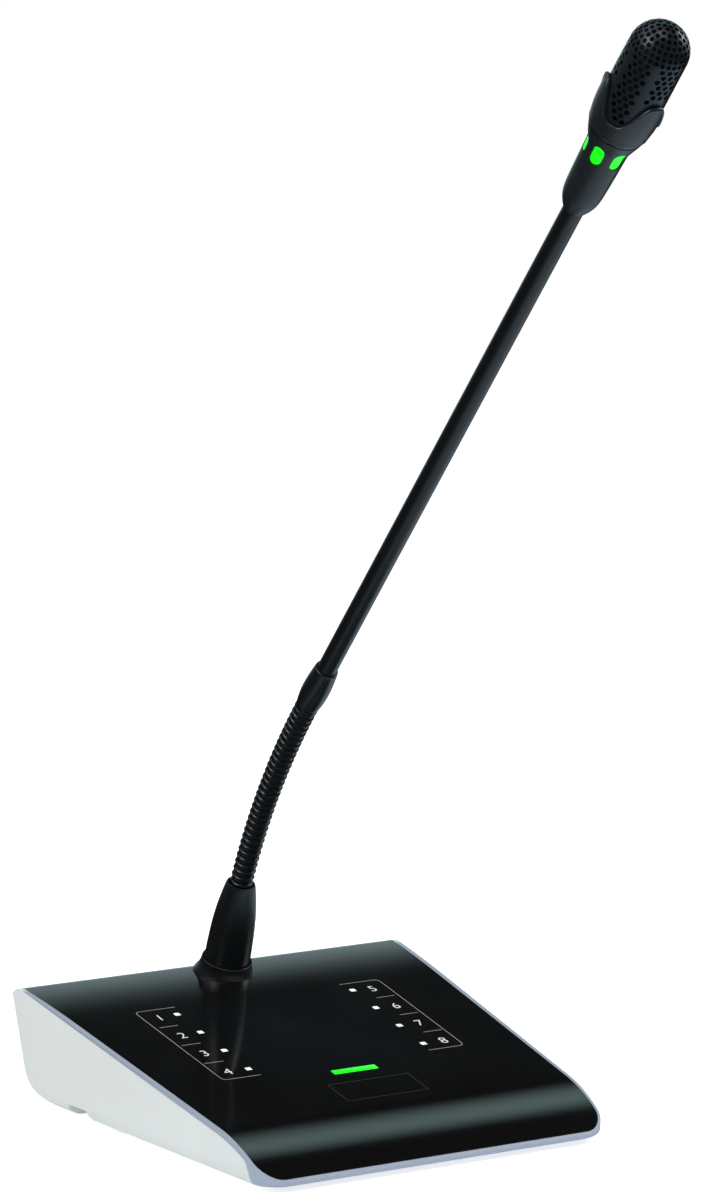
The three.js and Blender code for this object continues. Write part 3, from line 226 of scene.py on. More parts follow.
bpy.ops.object.select_all(action="DESELECT")
bpy.ops.mesh.primitive_circle_add(vertices=floor_sides, radius=floor_radius, fill_type="NGON")
floor = bpy.context.object
floor.name = "pale_floor"
floor_paint, tree, surface = new_material("pale_floor")
ray = add_node(tree, "LightPath").outputs
bounce = math_node(tree, "MULTIPLY_ADD", ray["Is Diffuse Ray"], bounce_share, ray["Is Camera Ray"])
place = add_node(tree, "TexCoord").outputs["Object"]
away = vector_node(tree, "DISTANCE", place, floor_painted_light_place)["Value"]
far = range_node(tree, away, floor_near, floor_far, kind="SMOOTHSTEP")
# The painted light and painted shade that glossy faces mirror off the desk; other rays see its even pale
# tone
mirrored_floor_painted_light = mix_node(tree, far, floor_painted_light_tone, floor_painted_shade_tone)
feed(surface, {
    "Base Color": mix_node(tree, ray["Is Glossy Ray"], floor_tone, mirrored_floor_painted_light),
    "Roughness": floor_roughness,
    "Specular IOR Level": 0,
    "Emission Color": white,
    "Emission Strength": math_node(tree, "MULTIPLY", bounce, floor_lift),
})
floor.data.materials.append(floor_paint)

# Tray
# The lower shell of the base, moulded in one piece of pale grey plastic with a fine spark texture.
# Its rim is sprayed silver and frames the black panel, and its underside takes feet and screws.
housing_low, housing_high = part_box("housing")
base_depth = housing_high.y - housing_low.y
middle_y = (housing_high.y + housing_low.y) / 2
front_y = housing_low.y
rear_y = housing_high.y
slope = math.radians(11.7)
panel_middle_height = 28.3 * mm
roll_radius = 5.5 * mm
crown_radius = 590 * mm
crown_start = 42 * mm             # behind the middle
nose_radius = 63.4 * mm
nose_turn = math.radians(27.6)
lip_ledge = 1.2 * mm
rim_half_width = 80 * mm
rim_limit = packed_box[1].x - 0.01 * mm
rim_width = 1.6 * mm
rim_corner_y = rear_y - 8 * mm
side_taper = math.radians(3.7)
side_draft = math.radians(3)
rear_undercut = math.radians(13)
side_edge_radius = 7 * mm
side_edge_front_radius = 2.2 * mm
rear_edge_radius = 12 * mm
front_edge_radius = 1.6 * mm
rear_corner_radius = 2.4 * mm
front_corner_radius = 9 * mm
corner_growth_share = 0.6
tray_bottom = 2 * mm
tray_floor = 1.8 * mm
tray_wall = 3 * mm
nose_fill = 9 * mm
panel_thickness = 2 * mm
panel_rear_drop = 6 * mm
panel_low = 3.3 * mm
panel_corner_radius = 8 * mm
seat_gap = 0.3 * mm
slip_gap = 0.2 * mm
reach = 10 * mm                   # how far a cutter runs past what it cuts
arc_steps = 28
crown_steps = 10
slope_steps = 12
level_steps = 12
rim_edge_round = 0.14 * mm
rear_chamfer = 0.75 * mm
front_chamfer = 1.05 * mm


def hands_off():
    """Leave edit mode, and select nothing."""
    if bpy.context.object and bpy.context.object.mode == "EDIT":
        bpy.ops.object.mode_set(mode="OBJECT")
    bpy.ops.object.select_all(action="DESELECT")


def take(piece):
    """Select one piece alone, as the active one."""
    hands_off()
    piece.select_set(True)
    bpy.context.view_layer.objects.active = piece


def named(name):
    """Name the piece that was just added, and set its place in its mesh."""
    piece = bpy.context.object
    piece.name = name
    piece.data.name = name
    bpy.ops.object.transform_apply(location=True, rotation=True, scale=True)
    return piece


def edit(piece, kind="VERT"):
    """Go into edit mode on one piece, with nothing selected."""
    take(piece)
    bpy.ops.object.mode_set(mode="EDIT")
    bpy.ops.mesh.select_mode(type=kind)
    bpy.ops.mesh.select_all(action="DESELECT")


def pick(piece, test):
    """In edit mode, select the corners, edges or faces whose middle passes the test."""
    shape = bmesh.from_edit_mesh(piece.data)
    bpy.ops.mesh.select_all(action="DESELECT")
    if "VERT" in shape.select_mode:
        for vertex in shape.verts:
            vertex.select = test(vertex.co)
    elif "EDGE" in shape.select_mode:
        for edge in shape.edges:
            edge.select = test((edge.verts[0].co + edge.verts[1].co) / 2)
    else:
        for face in shape.faces:
            face.select = test(face.calc_center_median())
    shape.select_flush_mode()
    bmesh.update_edit_mesh(piece.data)
def extrude(move):
    """In edit mode, extrude what is selected."""
    bpy.ops.mesh.extrude_region_move(TRANSFORM_OT_translate={"value": move})


def weld(distance=mm / 1000):
    """In edit mode, merge the corners that lie on each other."""
    bpy.ops.mesh.select_all(action="SELECT")
    bpy.ops.mesh.remove_doubles(threshold=distance)


def face_out():
    """Turn all faces outward, and leave edit mode."""
    bpy.ops.mesh.select_all(action="SELECT")
    bpy.ops.mesh.normals_make_consistent(inside=False)
    hands_off()


def round_corners(radius, steps):
    """In edit mode, round the selected corners of a flat outline."""
    bpy.ops.mesh.bevel(
        affect="VERTICES", offset=radius, offset_type="OFFSET", segments=steps, clamp_overlap=False,
    )


def framed_plane(name, middle, z, ends):
    """A level plane, left in edit mode: its rear and its front are brought to a half width and a Y."""
    hands_off()
    bpy.ops.mesh.primitive_plane_add(size=2, location=(0, middle, z))
    piece = named(name)
    edit(piece)
    for end, (half, y) in zip((1, -1), ends):
        pick(piece, lambda place: (place.y - middle) * end > 0.5)
        bpy.ops.transform.resize(value=(half, 1, 1), center_override=(0, 0, 0))
        bpy.ops.transform.translate(value=(0, y - middle - end, 0))
    return piece


def apply_modifier(piece, kind, **settings):
    """Add a modifier, set it and apply it."""
    take(piece)
    modifier = piece.modifiers.new(kind.lower(), kind)
    for setting, value in settings.items():
        setattr(modifier, setting, value)
    bpy.ops.object.modifier_apply(modifier=modifier.name)


def round_edges(piece, width, steps, angle):
    """Round the edges that turn by more than an angle."""
    apply_modifier(
        piece, "BEVEL", width=width, segments=steps, limit_method="ANGLE", angle_limit=math.radians(angle),
    )


def cut(piece, cutter, operation="DIFFERENCE"):
    """Cut the piece with another, or keep what they share or both, and drop the other."""
    apply_modifier(piece, "BOOLEAN", object=cutter, operation=operation, solver="EXACT")
    bpy.data.objects.remove(cutter)


def line_piece(name, points):
    """A line through the points: a plane is merged to one corner, and that is extruded on."""
    hands_off()
    bpy.ops.mesh.primitive_plane_add(size=mm)
    piece = named(name)
    edit(piece)
    bpy.ops.mesh.select_all(action="SELECT")
    bpy.ops.mesh.merge(type="CENTER")
    bpy.ops.transform.translate(value=points[0])
    for here, there in zip(points, points[1:]):
        extrude(there - here)
    return piece


def bar_across(name, outline, low_x, high_x):
    """A closed outline in Y and Z, filled and pushed through along X."""
    start = Vector((low_x, 0, 0))
    corners = [corner + start for corner in outline]
    piece = line_piece(name, corners + corners[:1])
    weld()
    bpy.ops.mesh.edge_face_add()
    extrude((high_x - low_x, 0, 0))
    face_out()
    return piece


def top_height(y):
    return panel_middle_height + (y - middle_y) * math.tan(slope)


def on_arc(centre, radius, lean):
    """The point of an arc where its face leans from level towards the rear."""
    return centre + Vector((0, radius * math.sin(lean), radius * math.cos(lean)))


# The panel is level across, straight up the slope, and slightly crowned before it rolls over
crown_foot = Vector((0, middle_y + crown_start, top_height(middle_y + crown_start)))
crown_centre = crown_foot + Vector((0, math.sin(slope), -math.cos(slope))) * crown_radius
roll_centre = Vector((0, rear_y - roll_radius, 0))
roll_centre.z = crown_centre.z + math.sqrt(
    (crown_radius - roll_radius) ** 2 - (roll_centre.y - crown_centre.y) ** 2
)
crown_end_lean = math.atan2(roll_centre.y - crown_centre.y, roll_centre.z - crown_centre.z)
roll_end_lean = math.pi / 2 + rear_undercut
roll_end = on_arc(roll_centre, roll_radius, roll_end_lean)
nose_end_lean = -(slope + nose_turn)
nose_centre = Vector((0, front_y + lip_ledge - nose_radius * math.sin(nose_end_lean), 0))
nose_centre.z = top_height(nose_centre.y) - nose_radius / math.cos(slope)
nose_joint = on_arc(nose_centre, nose_radius, -slope)
nose_run = Vector((0, -math.cos(nose_end_lean), math.sin(nose_end_lean)))
wall_run = Vector((0, -math.sin(rear_undercut), -math.cos(rear_undercut)))


def arc_line(centre, radius, start, turn, steps):
    """Points along an arc, from one lean on by a turn."""
    return [on_arc(centre, radius, start + turn * step / steps) for step in range(steps + 1)]


def top_line(depth):
    """The top line of the base from front to rear, set in by a depth."""
    low = Vector((0, math.sin(slope), -math.cos(slope))) * depth
    step_up = (crown_foot - nose_joint) / slope_steps
    crown_turn = crown_end_lean + slope
    roll_turn = roll_end_lean - crown_end_lean
    return [
        *arc_line(nose_centre, nose_radius - depth, nose_end_lean, nose_turn, arc_steps),
        *(nose_joint + step_up * step + low for step in range(1, slope_steps)),
        *arc_line(crown_centre, crown_radius - depth, -slope, crown_turn, crown_steps)[:-1],
        *arc_line(roll_centre, roll_radius - depth, crown_end_lean, roll_turn, arc_steps),
    ]


def rim_half_at(y):
    return min(rim_half_width + (y - rim_corner_y) * math.tan(side_taper), rim_limit)

def half_at(y, z):
    return rim_half_at(y) + (z - top_height(y)) * math.tan(side_draft)


def rear_wall_at(z):
    return roll_end.y - (roll_end.z - z) * math.tan(rear_undercut)


def edge_inset(radius, height):
    rise = max(radius - height, 0)
    return radius - math.sqrt(radius ** 2 - rise ** 2)


def wedge_level(z, rear, rear_inset, rear_round, front, front_inset, front_round):
    """One level of a tapered block: for each end its half width, its Y and its corner radius."""
    return {
        "z": z,
        "ends": (
            (half_at(rear, z) - rear_inset, rear, rear_round),
            (half_at(front, z) - front_inset, front, front_round),
        ),
    }


def wedge_piece(name, levels):
    """A plane brought to the lowest level and rounded at its corners, then pulled up level by level.
    At each one a corner is scaled about the place where its sides would meet, and moved out."""
    foot = levels[0]
    piece = framed_plane(name, middle_y, foot["z"], [end[:2] for end in foot["ends"]])
    for end, (_, _, radius) in zip((1, -1), foot["ends"]):
        pick(piece, lambda place: (place.y - middle_y) * end > 0)
        round_corners(radius, level_steps)
    for here, there in zip(levels, levels[1:]):
        rise = there["z"] - here["z"]
        pick(piece, lambda place: place.z > here["z"] - seat_gap / 100)
        extrude((0, 0, rise))
        for side in (-1, 1):
            for end, old, new in zip((1, -1), here["ends"], there["ends"]):
                pick(piece, lambda place: (
                    place.z > there["z"] - rise / 2
                    and place.x * side > 0
                    and (place.y - middle_y) * end > 0
                ))
                growth = new[2] / old[2]
                bpy.ops.transform.resize(
                    value=(growth, growth, 1),
                    center_override=(side * old[0], old[1], there["z"]),
                )
                bpy.ops.transform.translate(value=(side * (new[0] - old[0]), new[1] - old[1], 0))
    face_out()
    return piece


tray_levels = []
for step in range(level_steps + 1):
    height = rear_edge_radius * (1 - math.cos(math.pi / 2 * step / level_steps))
    z = tray_bottom + height
    rear_turn = edge_inset(rear_edge_radius, height)
    tray_levels.append(wedge_level(
        z,
        rear_wall_at(z) - rear_turn,
        edge_inset(side_edge_radius, height),
        rear_corner_radius + rear_turn * corner_growth_share,
        front_y + edge_inset(front_edge_radius, height),
        edge_inset(side_edge_front_radius, height),
        front_corner_radius,
    ))
for z in (roll_end.z, housing_high.z + reach):
    tray_levels.append(wedge_level(
        z, rear_wall_at(z), 0, rear_corner_radius, front_y, 0, front_corner_radius,
    ))
tray = wedge_piece("tray", tray_levels)

top_outline = top_line(0)
over_top = [
    top_outline[0] + nose_run * base_depth,
    *top_outline,
    Vector((0, rear_y + base_depth, roll_end.z)),
    Vector((0, rear_y + base_depth, housing_high.z + base_depth)),
    Vector((0, front_y - base_depth, housing_high.z + base_depth)),
]
cut(tray, bar_across("over_top", over_top, -base_depth, base_depth))


def plan_block(name, gap, low):
    """The panel's outline seen from above, grown by a gap and pulled up from a height."""
    ends = [
        (rim_half_at(y) - rim_width + gap, y)
        for y in (rear_y + reach, front_y + lip_ledge - gap)
    ]
    piece = framed_plane(name, middle_y, low, ends)
    pick(piece, lambda place: place.y < middle_y)
    round_corners(panel_corner_radius, level_steps)
    bpy.ops.mesh.select_all(action="SELECT")
    extrude((0, 0, housing_high.z + reach - low))
    face_out()
    return piece


def panel_band(name, rise, depth, gap, low):
    """What lies between two depths under the top line, inside the panel's outline."""
    over = top_line(-rise)
    under = top_line(depth)
    run_out = nose_run * reach
    run_down = wall_run * (panel_rear_drop + gap)
    outline = [
        over[0] + run_out,
        *over,
        over[-1] + run_down,
        under[-1] + run_down,
        *reversed(under),
        under[0] + run_out,
    ]
    band = bar_across(name, outline, -base_depth, base_depth)
    cut(band, plan_block("plan", gap, low), "INTERSECT")
    return band


cut(tray, panel_band("recess", reach, panel_thickness + seat_gap, slip_gap, panel_low - seat_gap))


def near_top_line(place):
    """How far a place is from the top line, seen from the side."""
    flat = Vector((0, place.y, place.z))
    nearest = base_depth
    for here, there in zip(top_outline, top_outline[1:]):
        run = there - here
        share = max(0, min(1, (flat - here).dot(run) / run.length_squared))
        nearest = min(nearest, (flat - here - run * share).length)
    return nearest


# The rim's outer edge is chamfered, and more so towards the nose
edge_angle = math.radians(35)
edge_reach = mm / 20
outward_share = 0.3
rim_round_angle = 28

edit(tray, "EDGE")
weld()
shape = bmesh.from_edit_mesh(tray.data)
weights = shape.edges.layers.float.get("bevel_weight_edge")
if weights is None:
    weights = shape.edges.layers.float.new("bevel_weight_edge")
for edge in shape.edges:
    if len(edge.link_faces) != 2 or edge.calc_face_angle() < edge_angle:
        continue
    place = (edge.verts[0].co + edge.verts[1].co) / 2
    outward = Vector((place.x, place.y - middle_y, 0)).normalized()
    wall = max(edge.link_faces, key=lambda face: abs(face.normal.dot(outward)))
    if near_top_line(place) < edge_reach and wall.normal.dot(outward) > outward_share:
        forward = max(0, min(1, (rim_corner_y - place.y) / (rim_corner_y - nose_joint.y)))
        edge[weights] = (rear_chamfer + (front_chamfer - rear_chamfer) * forward) / front_chamfer
bmesh.update_edit_mesh(tray.data)
apply_modifier(
    tray, "BEVEL", width=front_chamfer, segments=1, limit_method="WEIGHT", use_clamp_overlap=True,
)
for attribute in [a for a in tray.data.attributes if a.name.startswith("bevel_weight")]:
    tray.data.attributes.remove(attribute)
round_edges(tray, rim_edge_round, 3, rim_round_angle)

# The hollow of the tray leaves four screw pillars and the cable bay standing
screw_inset = ((20 * mm, base_depth - 23.6 * mm), (34 * mm, 38.6 * mm))
pillar_radius = 4.3 * mm
pillar_shelf = 3 * mm
well_radius = 2.8 * mm
screw_hole_radius = 1.45 * mm
panel_boss_length = 5 * mm
bay_middle = rear_y - 40.6 * mm
bay_width = 14 * mm
bay_wall = 2 * mm
bay_inner_end = -30 * mm
bay_length = 34 * mm
bay_height = 12.4 * mm
notch_width = 13 * mm
notch_height = 4.4 * mm
notch_corner = 1.5 * mm
notch_steps = 6
socket_low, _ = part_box("line_socket")
mouth_half_width = 6.7 * mm
mouth_low = 2 * mm
mouth_height = 10.4 * mm
foot_recess = 0.8 * mm
foot_hole_radius = 5.2 * mm


def drum(radius, low, high, x, y, sides=40, name="drum"):
    """A round bar that stands between two heights."""
    hands_off()
    bpy.ops.mesh.primitive_cylinder_add(
        vertices=sides, radius=radius, depth=high - low, location=(x, y, (low + high) / 2),
    )
    return named(name)


def block(low, high):
    """A square block between two corners."""
    hands_off()
    bpy.ops.mesh.primitive_cube_add(size=1, location=(low + high) / 2, scale=high - low)
    return named("block")


def boss_foot_at(y):
    """How low the screw bosses of the panel reach."""
    return top_height(y) - panel_thickness / math.cos(slope) - panel_boss_length


hollow_levels = []
for z in (tray_bottom + tray_floor, roll_end.z, housing_high.z + reach):
    turned_in = z < roll_end.z
    rear = rear_wall_at(min(z, roll_end.z)) - tray_wall - panel_thickness - seat_gap
    rear -= rear_edge_radius / 2 if turned_in else 0
    inset = tray_wall + (side_edge_radius / 2 if turned_in else 0)
    hollow_levels.append(wedge_level(
        z, rear, inset, rear_corner_radius, front_y + nose_fill, inset, front_corner_radius,
    ))
hollow = wedge_piece("hollow", hollow_levels)
screw_places = [
    (side * (rim_half_width - inset), front_y + along)
    for inset, along in screw_inset
    for side in (-1, 1)
]
for x, y in screw_places:
    cut(hollow, drum(pillar_radius, 0, boss_foot_at(y) - seat_gap, x, y))
bay_low = Vector((-base_depth, bay_middle - bay_width / 2 - bay_wall, 0))
bay_high = Vector((
    bay_inner_end + bay_wall,
    bay_middle + bay_width / 2 + bay_wall,
    tray_bottom + bay_height + bay_wall,
))
cut(hollow, block(bay_low, bay_high))
cut(tray, hollow)

# From below: screw wells, pockets for the feet, and the bay with its way out to the left
for x, y in screw_places:
    boss_foot = boss_foot_at(y)
    shelf_foot = boss_foot - seat_gap - pillar_shelf
    cut(tray, drum(well_radius, -reach, shelf_foot, x, y))
    cut(tray, drum(screw_hole_radius, shelf_foot - mm, boss_foot + mm, x, y))
feet = [name for name in nodes if name.startswith("foot_")]
foot_places = {}
for name in feet:
    low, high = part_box(name)
    foot_places[name] = ((low.x + high.x) / 2, (low.y + high.y) / 2)
for x, y in foot_places.values():
    cut(tray, drum(foot_hole_radius, -reach, tray_bottom + foot_recess, x, y, 64))
cut(tray, block(
    Vector((bay_inner_end - bay_length, bay_middle - bay_width / 2, -reach)),
    Vector((bay_inner_end, bay_middle + bay_width / 2, tray_bottom + bay_height)),
))
notch_end = bay_inner_end - bay_length + reach / 2
notch = block(
    Vector((-base_depth, bay_middle - notch_width / 2, -reach)),
    Vector((notch_end, bay_middle + notch_width / 2, tray_bottom + notch_height)),
)
edit(notch, "EDGE")
pick(notch, lambda place: place.z > tray_bottom and abs(place.y - bay_middle) > notch_width / 4)
bpy.ops.mesh.bevel(offset=notch_corner, segments=notch_steps)
cut(tray, notch)
mouth_foot = socket_low.z + mouth_low
cut(tray, block(
    Vector((bay_inner_end - bay_wall, bay_middle - mouth_half_width, mouth_foot)),
    Vector((bay_inner_end + 2 * bay_wall, bay_middle + mouth_half_width, mouth_foot + mouth_height)),
))


def shade(piece, angle=40):
    """Shade the piece smooth up to its crisp edges."""
    take(piece)
    bpy.ops.object.shade_smooth_by_angle(angle=math.radians(angle))


def finish_shell(piece, angle=40):
    """Merge what the cuts left double, and shade the piece."""
    edit(piece)
    weld()
    shade(piece, angle)
    apply_modifier(piece, "WEIGHTED_NORMAL", keep_sharp=True)


finish_shell(tray, 38)


def grain_group():
    """Fine moulded or sprayed texture: a height for the bump, and a tone and a gloss that drift."""
    group = bpy.data.node_groups.new("fine_grain", "ShaderNodeTree")
    for name, side, kind in (
        ("Place", "INPUT", "NodeSocketVector"),
        ("Grain Scale", "INPUT", "NodeSocketFloat"),
        ("Drift Scale", "INPUT", "NodeSocketFloat"),
        ("Height", "OUTPUT", "NodeSocketFloat"),
        ("Tone", "OUTPUT", "NodeSocketFloat"),
        ("Gloss", "OUTPUT", "NodeSocketFloat"),
    ):
        group.interface.new_socket(name=name, in_out=side, socket_type=kind)
    inside = group.nodes.new("NodeGroupInput").outputs
    outside = group.nodes.new("NodeGroupOutput")
    for output, scale, looks in (
        ("Height", "Grain Scale", {"Detail": 3, "Roughness": 0.6}),
        ("Tone", "Drift Scale", {"Detail": 4}),
        ("Gloss", "Drift Scale", {"Detail": 5, "Distortion": 0.6}),
    ):
        noise = add_node(group, "TexNoise", {"Vector": inside["Place"], "Scale": inside[scale], **looks})
        feed(outside, {output: noise.outputs["Fac"]})
    return group


drift_scale = 22
bump_strength = 0.6
fine_grain = grain_group()


def grain_on(tree, size):
    """The grain of a piece in its own coordinates, of a size in millimetres."""
    inputs = {
        "Place": add_node(tree, "TexCoord").outputs["Object"],
        "Grain Scale": 1 / (size * mm),
        "Drift Scale": drift_scale,
    }
    return add_node(tree, "Group", inputs, node_tree=fine_grain).outputs


def finish(name, dark, pale, rough, grain, metal=0.0):
    """A material whose colour and roughness drift between two near values. Its grain has a size and
    a depth in millimetres."""
    made, tree, surface = new_material(name)
    made.diffuse_color = (*pale, 1)
    grain_size, grain_depth = grain
    drift = grain_on(tree, grain_size)
    bump = {"Distance": grain_depth * mm, "Strength": bump_strength, "Height": drift["Height"]}
    feed(surface, {
        "Base Color": mix_node(tree, drift["Tone"], (*dark, 1), (*pale, 1)),
        "Roughness": range_node(tree, drift["Gloss"], 0, 1, *rough),
        "Normal": add_node(tree, "Bump", bump).outputs["Normal"],
        "Metallic": metal,
    })
    return made


tray_skin = finish(
    "tray_skin", (0.60, 0.635, 0.625), (0.665, 0.70, 0.69), rough=(0.42, 0.52), grain=(0.7, 0.05),
)
spray_rear = 0.75 * mm
spray_nose = 1.75 * mm
spray_lip_start = front_y + 12 * mm
spray_edge = 0.05 * mm
silver_dark = (0.34, 0.385, 0.47, 1)
silver_pale = (0.41, 0.455, 0.55, 1)
silver_metal_share = 0.35


def silver_trim(made):
    """Spray the top of the tray silver: down to a line under the rim, and all of the front lip."""
    tree = made.node_tree
    surface = tree.nodes["Principled BSDF"]
    place = add_node(tree, "TexCoord").outputs["Object"]

    def along(run):
        """How far a place lies from the nose joint along a direction."""
        reached = vector_node(tree, "DOT_PRODUCT", place, run)["Value"]
        return math_node(tree, "SUBTRACT", reached, nose_joint.dot(run))

    up = Vector((0, -math.sin(slope), math.cos(slope)))
    forward = Vector((0, -math.cos(slope), -math.sin(slope)))
    under_slope = math_node(tree, "MULTIPLY", along(up), -1)
    side_view = vector_node(tree, "MULTIPLY", place, (0, 1, 1))[0]
    from_centre = vector_node(tree, "DISTANCE", side_view, nose_centre)["Value"]
    under_nose = math_node(tree, "SUBTRACT", nose_radius, from_centre)
    on_nose = math_node(tree, "GREATER_THAN", along(forward), 0)
    depth = add_node(tree, "Mix", {"Factor": on_nose, "A": under_slope, "B": under_nose}).outputs["Result"]
    y = add_node(tree, "SeparateXYZ", {0: place}).outputs["Y"]
    rim_line = range_node(tree, y, rim_corner_y, nose_joint.y, spray_rear, spray_nose)
    lip_line = range_node(tree, y, spray_lip_start, front_y + front_corner_radius / 2, 0, reach)
    line = math_node(tree, "ADD", rim_line, lip_line)
    over = math_node(tree, "SUBTRACT", line, depth)
    mask = range_node(tree, over, -spray_edge, spray_edge)

    plastic = surface.inputs["Base Color"].links[0].from_socket
    drift = [node for node in tree.nodes if node.bl_idname == "ShaderNodeGroup"][0].outputs
    silver = mix_node(tree, drift["Height"], silver_dark, silver_pale)
    feed(surface, {
        "Base Color": mix_node(tree, mask, plastic, silver),
        "Metallic": math_node(tree, "MULTIPLY", mask, silver_metal_share),
    })


silver_trim(tray_skin)
tray.data.materials.append(tray_skin)
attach(tray, "base")
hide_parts("housing")

# Feet and screws from below
# Four round pads of black rubber are pressed into pockets, and four steel screws hold the panel.
foot_radius = 5 * mm
foot_sides = 64
foot_round = 0.35 * mm
foot_dish = 0.35 * mm
rubber = finish(
    "foot_rubber", (0.010, 0.010, 0.010), (0.022, 0.022, 0.022), rough=(0.7, 0.85), grain=(0.4, 0.05),
)
steel = finish(
    "screw_steel", (0.42, 0.42, 0.43), (0.55, 0.55, 0.56), rough=(0.25, 0.42), grain=(0.2, 0.01), metal=1,
)

for name, (x, y) in foot_places.items():
    low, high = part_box(name)
    foot = drum(foot_radius, low.z, high.z, x, y, foot_sides, name.replace("foot", "rubber_foot"))
    edit(foot, "FACE")
    pick(foot, lambda place: place.z < low.z + seat_gap / 10)
    bpy.ops.mesh.inset(thickness=foot_radius / 3, depth=0)
    bpy.ops.mesh.inset(thickness=foot_dish, depth=-foot_dish)
    round_edges(foot, foot_round, 4, 60)
    shade(foot)
    foot.data.materials.append(rubber)
    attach(foot, "base")
    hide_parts(name)


def coat(material, *prefixes):
    """Give CAD nodes a material."""
    for name, node in nodes.items():
        if name.startswith(prefixes):
            for slot in node.material_slots:
                slot.material = material


coat(steel, "case_screw_", "board_screw_", "stem_washer")

# What the base holds inside
# Circuit boards, a steel ballast plate, the moulded line socket, and the cables between them.
cable_skin = finish(
    "cable_skin", (0.012, 0.012, 0.012), (0.020, 0.020, 0.020), rough=(0.45, 0.6), grain=(0.3, 0.01),
)
coat(cable_skin, "base_cable", "stem_cable")
for name, dark, pale, rough, grain, metal, coated in (
    (
        "socket_plastic", (0.012, 0.012, 0.013), (0.020, 0.020, 0.022), (0.35, 0.5), (0.3, 0.02), 0,
        ("line_socket", "capsule_mount"),
    ),
    (
        "circuit_board", (0.010, 0.085, 0.035), (0.018, 0.125, 0.055), (0.3, 0.45), (1.2, 0.02), 0,
        ("main_board", "touch_board", "ring_board"),
    ),
    (
        "ballast_steel", (0.30, 0.30, 0.30), (0.42, 0.42, 0.43), (0.35, 0.5), (0.8, 0.02), 1,
        ("ballast_plate",),
    ),
    ("ribbon_film", (0.36, 0.15, 0.02), (0.45, 0.20, 0.04), (0.3, 0.4), (1.0, 0.01), 0, ("flat_ribbon",)),
    ("plug_nylon", (0.60, 0.60, 0.57), (0.68, 0.68, 0.65), (0.4, 0.5), (0.5, 0.01), 0, ("cable_plug",)),
    (
        "turned_brass", (0.50, 0.36, 0.14), (0.60, 0.44, 0.18), (0.22, 0.35), (0.4, 0.01), 1,
        ("stem_bush", "stem_nut"),
    ),
    (
        "label_card", (0.010, 0.012, 0.014), (0.016, 0.019, 0.022), (0.55, 0.7), (0.2, 0.02), 0,
        ("label_card",),
    ),
):
    coat(finish(name, dark, pale, rough, grain, metal), *coated)

# Top panel
# One sheet of black high-gloss acrylic, hot bent over the rear edge and down to the lip, printed
# from behind. Its middle has a clear window over the label card.
lamp_flange = 0.6 * mm
light_gap = slip_gap
stem_hole_radius = 5.4 * mm
panel_edge_round = 0.25 * mm
slope_frame = Matrix.Translation((0, middle_y, panel_middle_height)) @ Matrix.Rotation(slope, 4, "X")
stem_y = rear_y - 14.6 * mm
ripple_size = 6                   # of the acrylic, in millimetres
print_dark = (0.0035, 0.0035, 0.0038, 1)
print_pale = (0.0050, 0.0050, 0.0054, 1)
window_dark = (0.0026, 0.0038, 0.0043, 1)
window_pale = (0.0042, 0.0058, 0.0064, 1)
acrylic_rough = (0.07, 0.13)


def slope_box(name):
    """Lowest and highest corner of a CAD node, measured along the slope of the panel."""
    places = [slope_frame.inverted() @ vertex.co for vertex in nodes[name].data.vertices]
    low = Vector(map(min, *places))
    high = Vector(map(max, *places))
    return low, high


def lay_on_slope(piece):
    """Take a piece that was made flat over the origin up to the sloping panel."""
    piece.data.transform(slope_frame)
    return piece


panel = panel_band("gloss_panel", 0, panel_thickness, 0, panel_low)
round_edges(panel, panel_edge_round, 3, 50)
lamps = [name for name in nodes if name.startswith("zone_light_")] + ["call_light_bar"]
for name in lamps:
    low, high = slope_box(name)
    margin = Vector((lamp_flange - light_gap, lamp_flange - light_gap, -reach))
    cut(panel, lay_on_slope(block(low + margin, high - margin)))
stem_hole = drum(stem_hole_radius, -reach, reach, 0, (stem_y - middle_y) / math.cos(slope))
cut(panel, lay_on_slope(stem_hole))
finish_shell(panel, 30)

label_low, label_high = slope_box("label_card")
label_half = (label_high - label_low) / 2
acrylic, tree, surface = new_material("black_acrylic")
over_label = add_node(
    tree, "Mapping",
    {
        "Vector": add_node(tree, "TexCoord").outputs["Object"],
        "Location": slope_frame @ Vector((0, (label_low.y + label_high.y) / 2, 0)),
        "Rotation": (slope, 0, 0),
        "Scale": (label_half.x, label_half.y, 1),
    },
    vector_type="TEXTURE",
)
extent = vector_node(tree, "ABSOLUTE", over_label.outputs["Vector"])[0]
axes = add_node(tree, "SeparateXYZ", {0: extent}).outputs
inside = math_node(tree, "LESS_THAN", math_node(tree, "MAXIMUM", axes["X"], axes["Y"]), 1)
drift = grain_on(tree, ripple_size)
back_print = mix_node(tree, drift["Tone"], print_dark, print_pale)
window_view = mix_node(tree, drift["Gloss"], window_dark, window_pale)
feed(surface, {
    "Base Color": mix_node(tree, inside, back_print, window_view),
    "Roughness": range_node(tree, drift["Gloss"], 0, 1, *acrylic_rough),
})
panel.data.materials.append(acrylic)
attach(panel, "base")
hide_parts("top_panel")

# Lights in the panel
# Eight small square lamps beside the keys are lit white, and the bar over the talk key green.


def glowing(name, dark, pale, level):
    """A lit plastic lens: its colour drifts a little, and it glows by itself."""
    made = finish(name, dark, pale, rough=(0.25, 0.35), grain=(0.3, 0.01))
    surface = made.node_tree.nodes["Principled BSDF"]
    feed(surface, {"Emission Color": (*pale, 1), "Emission Strength": level})
    return made


